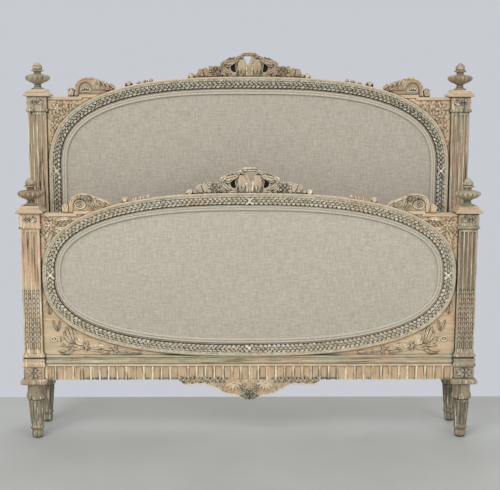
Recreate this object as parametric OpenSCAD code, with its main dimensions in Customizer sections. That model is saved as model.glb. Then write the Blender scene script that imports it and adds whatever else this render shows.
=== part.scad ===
// Upholstered and carved bedstead: a head board and a lower foot board, stood one in front of the other.
// X runs along the width, the front of both boards looks along -Y, and Z is up from the floor.
// Each board is two square fluted posts on turned legs, a jointed frame with an arched or oval opening,
// a padded linen panel held by a double welt, and carved crests, scrolls, sprays and rosettes.

/* [Overall] */
// Distance between the two post centres of a board
post_spacing = 1580; // [1480:10:1700]
// Distance between the centre planes of the two boards as they stand
board_spacing = 190; // [180:5:260]

/* [Posts] */
// Width of the square blocks of a post
block_w = 72; // [68:1:80]
// Width of the fluted shaft
shaft_w = 67; // [60:1:68]
// Height of the head posts below their caps
head_post_h = 1258; // [1200:1:1340]
// Height of the foot posts below their caps
foot_post_h = 843; // [820:1:900]
// Height of the turned leg
leg_h = 209; // [200:1:215]
// Height of the lower rosette block
block_h = 44; // [40:1:46]
// Number of flutes on each open face of a shaft
flute_count = 4; // [3:1:5]
// Radius of a flute
flute_r = 5.6; // [4.6:0.1:5.8]
// Height of the part of the shaft whose flutes are filled with rods
stopped_h = 222; // [120:1:260]
// Radius of the hole for a bed bolt
bolt_r = 6; // [5:0.5:7]
// Radius of the recess for the head of a bed bolt
bolt_head_r = 13; // [11:0.5:15]
// Depth of the recess for the head of a bed bolt
bolt_head_depth = 14; // [8:1:18]

/* [Caps and finials] */
// Overhang of a cap beyond its block
cap_overhang = 12; // [8:1:14]
// Height of a cap
cap_h = 26; // [22:1:32]
// Height of a finial above its cap
finial_h = 101; // [90:1:120]
// Radius of the bowl of a finial
finial_r = 46; // [38:1:48]
// Radius of the dowel under a finial
dowel_r = 6; // [4:0.5:8]
// Length of the dowel under a finial
dowel_l = 48; // [36:1:60]

/* [Frames] */
// Thickness of the frame boards
frame_t = 34; // [30:1:36]
// Distance from the centre plane forward to the face of the frame
frame_face = 18; // [16:1:20]
// Width of a stile from the post to the edge of the upholstery
stile_w = 48; // [47:1:56]
// Rise of the upholstery above the shoulders of a board
arch_rise = 28; // [22:1:34]
// Height of the curved part of the head board opening
head_arch_h = 304; // [280:1:330]
// Squareness of the head board arch
head_arch_n = 2.75; // [2.4:0.05:3]
// Height of the lower edge of the head board opening above the lowest rail
head_open_rise = 112; // [102:1:150]
// Radius of the lower corners of the head board opening
head_corner_r = 60; // [45:1:70]
// Height of the lower edge of the foot board oval above the lowest rail
foot_open_rise = 72; // [64:1:90]
// Squareness of the foot board oval
foot_oval_n = 2.55; // [2.3:0.05:2.8]
// Height of the underside of the lowest rail above the top of the leg
apron_rise = 15; // [10:1:19]
// Height of the lowest rail
apron_h = 64; // [58:1:66]
// Number of flutes along the lowest rail of the foot board
apron_flutes = 46; // [38:1:50]
// Width of the rim outside the carved band
rim_w = 14; // [12:1:16]
// Height of the rim above the frame face
rim_proud = 7; // [5:1:9]
// Length of the step in the shoulder from the post
step_x = 120; // [100:1:140]
// Rise of the step in the shoulder
step_h = 8; // [6:1:12]

/* [Carved band] */
// Width of the carved band
band_w = 29; // [26:1:31]
// Height of the carved band above the frame face
band_proud = 10; // [7:1:12]

/* [Upholstery] */
// Width of the ledge that the upholstery is tacked to
ledge_w = 22; // [21:1:26]
// Depth of the ledge behind the frame face
ledge_depth = 11; // [9:1:13]
// Radius of each cord of the double welt
welt_r = 4.5; // [3.5:0.1:4.8]
// Thickness of the linen
linen_t = 1.6; // [1:0.1:2]
// Rise of the padded panel from its edge to its middle
crown = 11; // [6:1:15]
// Thickness of the backing board
backing_t = 5; // [4:1:6]
// Thickness of the back cloth
back_cloth_t = 1.2; // [1:0.1:2]
// Radius of a tack head
tack_r = 5; // [4:0.5:6]
// Distance between two tacks
tack_pitch = 95; // [60:5:140]

/* [Carvings] */
// Width of the pierced crest
crest_w = 442; // [380:2:500]
// Height of the pierced crest above the rim
crest_h = 92; // [80:1:110]
// Thickness of the crest, the scrolls and the pendant
crest_t = 24; // [18:1:28]
// Width of a scroll on a shoulder
scroll_w = 170; // [150:1:190]
// Height of a scroll on a shoulder
scroll_h = 71; // [60:1:80]
// Height of a leaf spray above the frame face
spray_t = 4; // [3:1:6]
// Radius of a rosette
rosette_r = 17; // [14:0.5:18]
// Thickness of a rosette
rosette_t = 5; // [3:1:6]
// Width of the pendant under the lowest rail
pendant_w = 512; // [440:2:560]
// Depth of the pendant under the lowest rail
pendant_h = 73; // [60:1:80]
// Length of the arms of a leaf spray in the lower corners
spray_l = 258; // [200:2:280]

/* [Hidden] */
$fn = 48;

wood = [0.76, 0.63, 0.49];
worn_wood = [0.70, 0.66, 0.55];
linen = [0.73, 0.70, 0.62];
felt = [0.82, 0.79, 0.70];
ply = [0.66, 0.52, 0.36];
iron = [0.25, 0.23, 0.21];

fit = 0.2;
face_gap = 0.3;
half_block = block_w / 2;
half_shaft = shaft_w / 2;
inner_x = post_spacing / 2 - half_block;
sight_x = inner_x - stile_w;
band_edge = 2;
rim_out = band_edge + band_w + rim_w;
frame_back = frame_t - frame_face;
ledge_y = -(frame_face - ledge_depth);
apron_z = leg_h + apron_rise;
panel_z = apron_z + apron_h;
head_open_z = panel_z + head_open_rise;
foot_open_z = panel_z + foot_open_rise;
shoulder_gap = 1;

plinth_h = 23;
base_h = 59;
block_top_z = leg_h + plinth_h + block_h;
shaft_z = block_top_z + base_h;
top_block_h = 45;
neck_h = 13;
bolt_z = leg_h + plinth_h + block_h / 2;
apron_proud = 6;
moulding_h = 31;
moulding_proud = 11;

tenon_l = 24;
tenon_t = 12;
peg_r = 4;
peg_gap = 0.05;
peg_l = half_block + 12;
peg_x = 11;

oval_steps = 80;
arch_steps = 60;
corner_steps = 8;
head_joint_z = head_open_z + head_corner_r;
foot_centre_z = (foot_post_h - shoulder_gap + arch_rise + foot_open_z) / 2;
foot_oval_h = foot_post_h - shoulder_gap + arch_rise - foot_centre_z;
head_spring_z = head_post_h - shoulder_gap + arch_rise - head_arch_h;
head_stile_top = head_spring_z + 59;
foot_stile_z = foot_centre_z - 125;
foot_stile_top = foot_centre_z + 125;

// Curves. A station is [x, z, normal x, normal z] on the edge of the upholstery.
function signed_power(v, e) = sign(v) * pow(abs(v), e);
function superellipse(a, b, n, t) = [a * signed_power(cos(t), 2 / n), b * signed_power(sin(t), 2 / n)];
function superellipse_normal(a, b, n, p) =
    let (g = [signed_power(p[0] / a, n - 1) / a, signed_power(p[1] / b, n - 1) / b]) g / norm(g);
function curved_stations(a, b, n, z, angles) = [
    for (t = angles)
        let (p = superellipse(a, b, n, t), d = superellipse_normal(a, b, n, p)) [p[0], z + p[1], d[0], d[1]]
];
function corner_stations(x, z, r, start) = [
    for (i = [0:corner_steps]) let (t = start + 90 * i / corner_steps)
        [x + r * cos(t), z + r * sin(t), cos(t), sin(t)]
];
head_stations = concat(
    curved_stations(sight_x, head_arch_h, head_arch_n, head_spring_z,
        [for (i = [0:arch_steps]) 180 * i / arch_steps]),
    corner_stations(-(sight_x - head_corner_r), head_joint_z, head_corner_r, 180),
    corner_stations(sight_x - head_corner_r, head_joint_z, head_corner_r, 270)
);
foot_stations = curved_stations(sight_x, foot_oval_h, foot_oval_n, foot_centre_z,
    [for (i = [0:oval_steps - 1]) 360 * i / oval_steps]);
function offset_points(stations, d) = [for (s = stations) [s[0] + d * s[2], s[1] + d * s[3]]];

// Spreads the corner points of a profile, [offset outwards, y], along closed stations.
module swept_ring(stations, profile) {
    count = len(stations);
    sides = len(profile);
    points = [for (s = stations, p = profile) [s[0] + p[0] * s[2], p[1], s[1] + p[0] * s[3]]];
    faces = [
        for (i = [0:count - 1], j = [0:sides - 1])
            let (a = i * sides, b = ((i + 1) % count) * sides, k = (j + 1) % sides)
                each [[a + j, a + k, b + k], [a + j, b + k, b + j]]
    ];
    polyhedron(points = points, faces = faces, convexity = 10);
}

// A plate with its outline in X and Z, from y0 back to y1.
module plate(y0, y1) {
    translate([0, y1, 0]) rotate([90, 0, 0]) linear_extrude(y1 - y0) children();
}
module at_head() { translate([0, board_spacing / 2, 0]) children(); }
module at_foot() { translate([0, -board_spacing / 2, 0]) children(); }

// A square-plan turning of a profile, [half width, z], with mitred corners.
module square_moulding(profile) {
    width = 2 * max([for (p = profile) p[0]]);
    outline = concat(profile, [for (i = [len(profile) - 1:-1:0]) [-profile[i][0], profile[i][1]]]);
    intersection() {
        plate(-width / 2, width / 2) polygon(outline);
        rotate(90) plate(-width / 2, width / 2) polygon(outline);
    }
}

// Posts
function post_profile(h) = [
    [half_block, leg_h], [half_block + 8, leg_h + 3], [half_block + 12, leg_h + 6],
    [half_block + 12, leg_h + 16],
    [half_block + 8, leg_h + 20], [half_block, leg_h + plinth_h], [half_block, block_top_z],
    [half_block + 5, block_top_z + 2], [half_block + 6, block_top_z + 6], [half_block + 6, block_top_z + 12],
    [half_block + 4, block_top_z + 15], [half_block + 2.5, block_top_z + 21],
    [half_block + 3.5, block_top_z + 28], [half_block + 3, block_top_z + 31],
    [half_block - 1, block_top_z + 32.5], [half_block - 1, block_top_z + 36.5],
    [half_block + 4, block_top_z + 38], [half_block + 5, block_top_z + 42],
    [half_block + 4, block_top_z + 46], [half_block, block_top_z + 49], [half_block - 1, block_top_z + 54],
    [half_shaft, shaft_z], [half_shaft, h - top_block_h - neck_h],
    [half_block + 3, h - top_block_h - neck_h + 3], [half_block + 4, h - top_block_h - neck_h / 2],
    [half_block + 3, h - top_block_h - 2], [half_block, h - top_block_h], [half_block, h]
];
leg_profile = [
    [0, 0], [14, 0], [19, 4], [21.5, 11], [22, 19], [21, 28], [19, 33], [24, 34.5], [25, 38.5], [24, 42.5],
    [22.5, 44], [31, leg_h - 63], [29.5, leg_h - 61], [29.5, leg_h - 58.5], [35, leg_h - 57],
    [36.5, leg_h - 52], [36.5, leg_h - 47], [34.5, leg_h - 41], [32.5, leg_h - 33], [32, leg_h - 24],
    [32, leg_h - 6], [33.5, leg_h - 3], [33.5, leg_h + 1],
    [0, leg_h + 1]
];
leg_flute_count = 12;
leg_flute_z0 = 50;
leg_flute_z1 = leg_h - 68;

module leg_flutes() {
    tilt = atan2(8.5, leg_h - 63 - 44);
    for (i = [0:leg_flute_count - 1])
        rotate(360 / leg_flute_count * (i + 0.5))
            translate([23.9, 0, leg_flute_z0]) rotate([0, tilt, 0])
                cylinder(h = leg_flute_z1 - leg_flute_z0, r1 = 3.1, r2 = 4.4, $fn = 24);
}

flute_pitch = (shaft_w - 8) / flute_count;
flute_out = 1.2;
flute_end = 12;
rod_r = flute_r - 1.2;
rod_proud = 1;
// A round bar from z0 to z1 with blunt ends beyond them.
module blunt_bar(r, z0, z1) {
    rotate_extrude($fn = 24)
        polygon([
            [0, z0 - r], [r * 0.7, z0 - r * 0.7], [r, z0], [r, z1], [r * 0.7, z1 + r * 0.7], [0, z1 + r]
        ]);
}
// The flutes of one shaft face, on the face that looks along -Y.
module face_flutes(z0, z1) {
    for (i = [0:flute_count - 1])
        translate([(i - (flute_count - 1) / 2) * flute_pitch, -half_shaft - flute_out, 0])
            blunt_bar(flute_r, z0, z1);
}
// The rods that fill the lower part of the flutes.
module face_rods(z0, z1) {
    for (i = [0:flute_count - 1])
        translate([(i - (flute_count - 1) / 2) * flute_pitch, -half_shaft + rod_r - rod_proud, 0])
            blunt_bar(rod_r, z0, z1);
}
// Turns to the three open faces of the post on the +X side.
module open_faces() { for (a = [0, 90, 180]) rotate(a) children(); }

// Sockets in the inner face of the post on the +X side, for the tenons of its rails.
module rail_sockets(zs) {
    for (z = zs)
        translate([-half_block - 1, -tenon_t / 2 - fit, z[0] - fit])
            cube([tenon_l + 1 + fit, tenon_t + 2 * fit, z[1] - z[0] + 2 * fit]);
}
module peg_holes(zs, r) {
    for (z = zs)
        translate([-half_block + peg_x, half_block - peg_l, (z[0] + z[1]) / 2])
            rotate([-90, 0, 0]) cylinder(h = peg_l + 1, r = r, $fn = 24);
}
// The heights of the tenons of the three rails of a board, from the lowest up.
function tenon_heights(h) = [
    [apron_z + 12, apron_z + apron_h - 12], [panel_z + 16, panel_z + 46],
    [h - shoulder_gap - 40, h - shoulder_gap - 14]
];
// The space that the frame and its lower mouldings need beside the post.
module frame_notch(h) {
    notch_w = 20;
    translate([-half_block - notch_w, -frame_face - fit, leg_h - 1])
        cube([notch_w, frame_t + 2 * fit, h - leg_h + 2]);
    translate([-half_block - notch_w, -frame_face - moulding_proud - fit, leg_h - 1])
        cube([notch_w, moulding_proud + 1, panel_z + moulding_h - leg_h + 1 + fit]);
}
// Along the bolt the side rail lies at +Y, and the bolt's head goes in at -Y.
module bolt_cuts() {
    rail_t = 40;
    cut_d = 20;
    translate([0, half_block + 1, bolt_z]) rotate([90, 0, 0]) cylinder(h = block_w + 2, r = bolt_r);
    translate([0, bolt_head_depth - half_block, bolt_z]) rotate([90, 0, 0])
        cylinder(h = bolt_head_depth + 1, r = bolt_head_r);
    translate([-rail_t / 2, half_block, leg_h - 1]) cube([rail_t, cut_d, shaft_z - leg_h + 1]);
}

// One post on the +X side about its own axis. rail_side is 1 where a side rail meets its back, -1 its front.
module post(h, rail_side) {
    zs = tenon_heights(h);
    color(wood)
        difference() {
            union() {
                difference() {
                    union() {
                        square_moulding(post_profile(h));
                        rotate_extrude() polygon(leg_profile);
                    }
                    open_faces() face_flutes(shaft_z + flute_end, h - top_block_h - neck_h - flute_end);
                    leg_flutes();
                }
                open_faces() face_rods(shaft_z + flute_end, shaft_z + stopped_h);
            }
            frame_notch(h);
            rail_sockets(zs);
            peg_holes(zs, peg_r + peg_gap);
            translate([0, 0, h + cap_h - dowel_l - 1]) cylinder(h = dowel_l, r = dowel_r + fit);
            mirror([0, rail_side > 0 ? 0 : 1, 0]) bolt_cuts();
        }
}

// Places a child made for the +X post at the left or the right of a board.
module on_side(side) {
    translate([side * post_spacing / 2, 0, 0]) mirror([side < 0 ? 1 : 0, 0, 0]) children();
}

module cap(h) {
    o = cap_overhang;
    color(wood)
        difference() {
            translate([0, 0, h])
                square_moulding([
                    [half_block + o - 2, 0], [half_block + o, 1.5], [half_block + o, 7],
                    [half_block + o - 3, 8.5],
                    [half_block + o - 4, 11], [half_block + 2, cap_h - 11], [half_block - 1.5, cap_h - 6],
                    [half_block - 2.5, cap_h]
                ]);
            translate([0, 0, h - 1]) cylinder(h = cap_h + 2, r = dowel_r + fit);
        }
}

// The turned outline of a finial, [radius, height], from its foot to its tip.
function finial_profile() =
    let (k = finial_h / 101, b = finial_r / 46) [
        [0, 0], [24 * b, 0], [24 * b, 3 * k], [19 * b, 5 * k], [12 * b, 9 * k], [9 * b, 14 * k],
        [9.5 * b, 19 * k], [13 * b, 22 * k], [22 * b, 25 * k], [33 * b, 30 * k], [42 * b, 36 * k],
        [46 * b, 42 * k], [45 * b, 47 * k], [39 * b, 51 * k], [29 * b, 53.5 * k], [17 * b, 55 * k],
        [13 * b, 58 * k], [13 * b, 64 * k], [18 * b, 66 * k],
        [22 * b, 68 * k], [22 * b, 72 * k], [18 * b, 74 * k], [19.5 * b, 79 * k], [18.5 * b, 85 * k],
        [14.5 * b, 92 * k], [8 * b, 97.5 * k], [0, finial_h]
    ];
module finial(h) {
    color(wood)
        translate([0, 0, h + cap_h]) {
            rotate_extrude() polygon(finial_profile());
            translate([0, 0, -dowel_l + 0.5]) cylinder(h = dowel_l, r = dowel_r);
        }
}

// Frames
module frame_outline(stations, h) {
    z = h - shoulder_gap;
    translate([-inner_x, panel_z]) square([2 * inner_x, z - panel_z]);
    polygon(offset_points(stations, rim_out));
    translate([-(inner_x - step_x), z - 1]) square([2 * (inner_x - step_x), step_h + 1]);
}
shoulder_proud = 4;
shoulder_band = 11;
rebate_w = 10;
rebate_y = frame_back - backing_t - 1;
module frame_solid(stations, h) {
    difference() {
        union() {
            plate(-frame_face, frame_back)
                difference() {
                    frame_outline(stations, h);
                    polygon(offset_points(stations, -ledge_w));
                }
            plate(-frame_face - rim_proud, -frame_face)
                difference() {
                    polygon(offset_points(stations, rim_out));
                    polygon(offset_points(stations, rim_out - rim_w));
                    translate([-inner_x, 0]) square([2 * inner_x, panel_z + moulding_h]);
                }
            plate(-frame_face - shoulder_proud, -frame_face)
                difference() {
                    shoulder_moulding(h);
                    polygon(offset_points(stations, rim_out - 1));
                }
        }
        plate(-frame_face - 1, ledge_y) polygon(offset_points(stations, 0));
        plate(rebate_y, frame_back + 1) polygon(offset_points(stations, rebate_w - ledge_w));
    }
}
// The thin moulding along the stepped shoulder.
module shoulder_moulding(h) {
    z = h - shoulder_gap - shoulder_band;
    run = 80;
    both_sides_flat() {
        translate([inner_x - step_x, z]) square([step_x, shoulder_band]);
        translate([inner_x - step_x - run, z + step_h]) square([run, shoulder_band]);
        translate([inner_x - step_x - shoulder_band, z]) square([shoulder_band, step_h + shoulder_band]);
    }
}
module both_sides_flat() {
    children();
    mirror([1, 0]) children();
}
// Keeps what lies between two heights, and right of x0.
module slice(z0, z1, x0 = -post_spacing) {
    intersection() {
        children();
        translate([x0, -frame_t * 2, z0]) cube([2 * post_spacing, frame_t * 4, z1 - z0]);
    }
}
// The two tenons of the +X stile, each half its length into the rail above or below it.
module stile_tenons(z0, z1, grow) {
    x0 = sight_x + 3;
    x1 = inner_x - 7;
    for (z = [z0, z1])
        translate([x0 - grow, stile_tenon_y - grow, z - tenon_l - grow])
            cube([x1 - x0 + 2 * grow, tenon_t + 2 * grow, 2 * (tenon_l + grow)]);
}
stile_tenon_y = -4;
module both_sides() {
    children();
    mirror([1, 0, 0]) children();
}
module rail_tenons(z) {
    both_sides()
        translate([inner_x - 1, -tenon_t / 2, z[0]]) cube([tenon_l + 1 - fit, tenon_t, z[1] - z[0]]);
}
module rail_pegging(z) {
    both_sides() translate([post_spacing / 2, 0, 0]) peg_holes([z], peg_r + peg_gap);
}
module top_rail(stations, h, stile_z, stile_top) {
    color(wood)
        difference() {
            union() {
                slice(stile_top, h + 200) frame_solid(stations, h);
                rail_tenons(tenon_heights(h)[2]);
            }
            both_sides() stile_tenons(stile_z, stile_top, fit);
            rail_pegging(tenon_heights(h)[2]);
        }
}
module bottom_rail(stations, h, stile_z, stile_top) {
    color(wood)
        difference() {
            union() {
                slice(panel_z, stile_z) frame_solid(stations, h);
                rail_tenons(tenon_heights(h)[1]);
            }
            both_sides() stile_tenons(stile_z, stile_top, fit);
            rail_pegging(tenon_heights(h)[1]);
        }
}
module stile(stations, h, stile_z, stile_top, side) {
    color(wood)
        mirror([side < 0 ? 1 : 0, 0, 0]) {
            slice(stile_z, stile_top, 0) frame_solid(stations, h);
            stile_tenons(stile_z, stile_top, 0);
        }
}
// The radius of a flute of the lowest rail, and how far its centre lies in front, as shares of their pitch.
flute_share = 0.62;
flute_back = 0.45;
apron_fillet = 11;
// The lowest rail. On the foot board it stands proud and has a row of upright flutes.
module apron_rail(h, flutes, proud) {
    pitch = 2 * (inner_x - 8) / max(flutes, 1);
    color(wood)
        difference() {
            union() {
                plate(-frame_face - proud, frame_back)
                    translate([-inner_x, apron_z]) square([2 * inner_x, apron_h]);
                rail_tenons(tenon_heights(h)[0]);
            }
            for (i = [0:1:flutes - 1])
                translate([
                    (i - (flutes - 1) / 2) * pitch, -frame_face - proud - pitch * flute_back, apron_z - 1
                ])
                    cylinder(h = apron_h - apron_fillet + 1, r = pitch * flute_share, $fn = 32);
            rail_pegging(tenon_heights(h)[0]);
        }
}
// The moulding between the fluted rail and the carved panel.
module apron_moulding() {
    f = -frame_face;
    color(wood)
        translate([-inner_x + face_gap, 0, panel_z])
            rotate([90, 0, 90])
                linear_extrude(2 * (inner_x - face_gap))
                    polygon([
                        [f, 0], [f - 9, 0], [f - 11, 3], [f - 11, 9], [f - 8, 12], [f - 5, 14], [f - 4, 18],
                        [f - 6, 21], [f - 8, 25], [f - 6, moulding_h - 3], [f - 2, moulding_h],
                        [f, moulding_h]
                    ]);
}
module pegs(h) {
    color(wood)
        both_sides() translate([post_spacing / 2, 0, 0])
            for (z = tenon_heights(h))
                translate([-half_block + peg_x, half_block - peg_l, (z[0] + z[1]) / 2])
                    rotate([-90, 0, 0]) cylinder(h = peg_l, r = peg_r, $fn = 24);
}

// Upholstery
module carved_band(stations) {
    f = -frame_face;
    edge = band_edge;
    color(worn_wood)
        swept_ring(stations, [
            [edge, f], [edge + band_w, f], [edge + band_w - 1, f - band_proud * 0.7],
            [edge + band_w - 7, f - band_proud], [edge + 6, f - band_proud], [edge + 1, f - band_proud * 0.7]
        ]);
}
welt_gap = 0.4;
welt_y = ledge_y - linen_t;
welt_w = 4 * welt_r;
// Two cords side by side on the edge of the linen, seen end on.
module welt(stations) {
    d = 2 * welt_r;
    x = -welt_gap;
    y = welt_y;
    color(linen)
        swept_ring(stations, [
            [x - 2 * d, y], [x, y], [x, y - d * 0.6], [x - d * 0.25, y - d * 0.95], [x - d * 0.7, y - d],
            [x - d, y - d * 0.65], [x - d * 1.3, y - d], [x - d * 1.75, y - d * 0.95],
            [x - 2 * d, y - d * 0.6]
        ]);
}
crown_shares = [0.985, 0.95, 0.85, 0.55];
function crown_at(s, edge, rise) = edge - rise * (1 - pow(s, 12));
// A crowned sheet or pad. Its outer ring lies flat at y = edge between two insets, and it rises inside them.
// Its back is flat at y = back, or follows its front where thick is given.
module crowned_panel(stations, insets, edge, rise, back, thick = 0) {
    outline = offset_points(stations, -insets[1]);
    count = len(outline);
    mid = (max([for (p = outline) p[1]]) + min([for (p = outline) p[1]])) / 2;
    rings = len(crown_shares) + 2;
    front = concat(
        [for (p = offset_points(stations, -insets[0])) [p[0], edge, p[1]]],
        [for (p = outline) [p[0], edge, p[1]]],
        [for (s = crown_shares, p = outline) [p[0] * s, crown_at(s, edge, rise), mid + (p[1] - mid) * s]]
    );
    rear = [for (p = front) [p[0], thick > 0 ? p[1] + thick : back, p[2]]];
    centre = [[0, edge - rise, mid], [0, thick > 0 ? edge - rise + thick : back, mid]];
    n = count * rings;
    last = (rings - 1) * count;
    faces = concat(
        [for (r = [0:rings - 2], i = [0:count - 1]) let (k = (i + 1) % count, a = r * count, b = a + count)
            each [
                [a + i, a + k, b + k], [a + i, b + k, b + i],
                [n + a + k, n + a + i, n + b + i], [n + a + k, n + b + i, n + b + k]
            ]],
        [for (i = [0:count - 1]) let (k = (i + 1) % count)
            each [
                [last + i, last + k, 2 * n], [n + last + k, n + last + i, 2 * n + 1],
                [k, i, n + i], [k, n + i, n + k]
            ]]
    );
    polyhedron(points = concat(front, rear, centre), faces = faces, convexity = 10);
}
module linen_cover(stations) {
    color(linen) crowned_panel(stations, [1, welt_w + 0.8], ledge_y - linen_t, crown, 0, linen_t);
}
// Every second station is enough for the padding, which the linen hides.
module padding(stations) {
    few = [for (i = [0:2:len(stations) - 1]) stations[i]];
    color(felt)
        crowned_panel(few, [ledge_w + 1.5, ledge_w + 3], ledge_y + face_gap, crown, rebate_y - face_gap);
}
module backing_board(stations) {
    color(ply)
        plate(rebate_y, rebate_y + backing_t) polygon(offset_points(stations, rebate_w - ledge_w - face_gap));
}
cloth_lap = 26;
module back_cloth(stations) {
    color(linen)
        plate(frame_back, frame_back + back_cloth_t) polygon(offset_points(stations, cloth_lap - ledge_w));
}
// Points spaced evenly along the closed line through the given points.
function run_lengths(p, i = 0, sum = 0) = i == len(p) ? [sum]
    : concat([sum], run_lengths(p, i + 1, sum + norm(p[(i + 1) % len(p)] - p[i])));
function point_at(p, lengths, d, i = 0) = d <= lengths[i + 1] || i == len(p) - 1
    ? p[i] + (p[(i + 1) % len(p)] - p[i]) * (d - lengths[i]) / (lengths[i + 1] - lengths[i])
    : point_at(p, lengths, d, i + 1);
module back_tacks(stations) {
    line = offset_points(stations, cloth_lap - ledge_w - 8);
    lengths = run_lengths(line);
    total = lengths[len(lengths) - 1];
    count = floor(total / tack_pitch);
    y = frame_back + back_cloth_t;
    color(iron)
        for (i = [0:count - 1]) {
            p = point_at(line, lengths, total * i / count);
            translate([p[0], y, p[1]]) rotate([-90, 0, 0])
                cylinder(h = tack_r * 0.36, r1 = tack_r, r2 = tack_r * 0.55, $fn = 16);
        }
}

// Carvings. Each outline is in X and Z, with the middle of the board at x = 0.
function ellipse_points(x, z, a, b, turn = 0, count = 28) = [
    for (i = [0:count - 1])
        let (t = 360 * i / count, u = a * cos(t), v = b * sin(t))
            [x + u * cos(turn) - v * sin(turn), z + u * sin(turn) + v * cos(turn)]
];
function leaf_points(x, z, length, width, turn, count = 8) = [
    for (i = [0:2 * count - 1])
        let (
            s = i <= count ? i / count : (2 * count - i) / count,
            side = i <= count ? 1 : -1,
            u = length * s,
            v = side * width / 2 * pow(sin(180 * s), 0.7)
        )
            [x + u * cos(turn) - v * sin(turn), z + u * sin(turn) + v * cos(turn)]
];
// The height of the rim's upper edge at x.
function edge_z(stations, x) =
    let (line = offset_points(stations, rim_out), count = len(line))
    max([for (i = [0:count - 1])
        let (p = line[i], q = line[(i + 1) % count])
            if ((p[0] - x) * (q[0] - x) <= 0 && p[0] != q[0])
                p[1] + (q[1] - p[1]) * (x - p[0]) / (q[0] - p[0])]);

carve_t = 6;
crest_y0 = -frame_face - carve_t;
crest_y1 = crest_y0 + crest_t;
crest_back_t = 6;
function scaled(points, u, v) = [for (p = points) [p[0] * u, p[1] * v]];
// The pierced ribbon bow with a rose and leaves on each side, seated on the rim. Its outline is drawn
// 442 wide and 92 high, and is stretched to the crest's own size.
module crest_ground(u, v) {
    half = [
        [214, -30], [214, 6], [190, 16], [160, 27], [134, 31], [100, 44], [82, 58], [60, 70], [34, 80],
        [20, 92]
    ];
    difference() {
        union() {
            polygon(scaled(concat(half, [for (i = [len(half) - 1:-1:0]) [-half[i][0], half[i][1]]]), u, v));
            for (s = [-1, 1]) polygon(scaled(ellipse_points(s * 208, 4, 13, 13), u, v));
        }
        for (s = [-1, 1]) polygon(scaled(ellipse_points(s * 56, 36, 10, 15, s * -12), u, v));
        polygon(scaled([[-14, 78], [14, 78], [0, 46]], u, v));
    }
}
module crest_front(u, v) {
    for (s = [-1, 1]) {
        polygon(scaled(ellipse_points(s * 26, 34, 19, 25, s * -14), u, v));
        polygon(scaled(ellipse_points(s * 118, 20, 19, 19), u, v));
        polygon(scaled(leaf_points(s * 150, 8, 56, 22, s > 0 ? 20 : 160), u, v));
        polygon(scaled(leaf_points(s * 76, 6, 34, 20, s > 0 ? 100 : 80), u, v));
    }
    polygon(scaled(ellipse_points(0, 85, 20, 7), u, v));
}
module crest(stations) {
    top = edge_z(stations, 0);
    u = crest_w / 442;
    v = crest_h / 92;
    color(worn_wood)
        difference() {
            translate([0, 0, top]) {
                plate(crest_y0 + carve_t - 2, crest_y1) crest_ground(u, v);
                plate(crest_y0, crest_y0 + carve_t) crest_front(u, v);
                plate(crest_y1 - crest_back_t, crest_y1)
                    for (s = [-1, 1]) polygon(scaled(ellipse_points(s * 56, 36, 12, 17, s * -12), u, v));
                for (s = [-1, 1]) {
                    translate([s * 118 * u, crest_y0 + carve_t / 2, 20 * v]) sphere(r = 8 * u);
                    translate([s * 208 * u, crest_y0 + carve_t, 4 * v]) sphere(r = 11 * u);
                }
            }
            plate(-frame_t * 2, frame_t * 2) polygon(offset_points(stations, rim_out));
        }
}
// A volute with an acanthus back and a small bud, at the left of a board. Its outline is drawn 170 wide and
// 71 high, and is stretched to the scroll's own size.
module scroll(stations, h) {
    z = h - shoulder_gap;
    x = -(inner_x - step_x);
    u = scroll_w / 170;
    v = scroll_h / 71;
    eye = [20 * u, 36 * v];
    color(worn_wood)
        difference() {
            translate([x, 0, z]) {
                plate(crest_y0 + carve_t - 2, crest_y1)
                    polygon(scaled([
                        [-10, 0], [-15, 24], [-14, 40], [-8, 53], [3, 63], [18, 69], [36, 71], [56, 67],
                        [82, 58], [106, 48], [126, 40], [150, 34], [160, 20], [100, 0]
                    ], u, v));
                plate(crest_y0, crest_y0 + carve_t) {
                    difference() {
                        polygon(ellipse_points(eye[0], eye[1], 32 * u, 31 * v));
                        polygon(ellipse_points(eye[0], eye[1], 23 * u, 22 * v));
                    }
                    for (i = [0:4])
                        polygon(scaled(leaf_points(40 + 19 * i, 24 + i, 40 - 3 * i, 16, 66 - 9 * i), u, v));
                }
                translate([eye[0], crest_y0 + carve_t - 1, eye[1]]) sphere(r = 15 * u);
            }
            plate(-frame_t * 2, frame_t * 2) polygon(offset_points(stations, rim_out));
            translate([-inner_x, -frame_t * 2, z - step_x]) cube([step_x, frame_t * 4, step_x]);
            translate([x, -frame_t * 2, z - step_x]) cube([scroll_w * 2, frame_t * 4, step_x + step_h]);
        }
    color(worn_wood)
        translate([x - 30 * u, 0, z])
            plate(crest_y0 + carve_t - 1, crest_y1 - 2)
                polygon(scaled([[-13, 0], [-15, 12], [-11, 26], [-2, 34], [8, 32], [12, 24], [12, 0]], u, v));
}
sprig_x = 450;
sprig_r = 12;
// A berry and a run of small leaves on each side of the crest.
module sprigs(stations) {
    y = crest_y0 + sprig_r;
    color(worn_wood)
        both_sides()
            difference() {
                union() {
                    translate([sprig_x, y, edge_z(stations, sprig_x) + sprig_r * 0.75])
                        sphere(r = sprig_r * 0.95);
                    for (i = [0:4]) {
                        x = sprig_x - sprig_r * (1.7 + 1.5 * i);
                        translate([x, y, edge_z(stations, x)]) sphere(r = sprig_r - i);
                    }
                }
                plate(-frame_t * 2, frame_t * 2) polygon(offset_points(stations, rim_out));
            }
}
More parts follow.
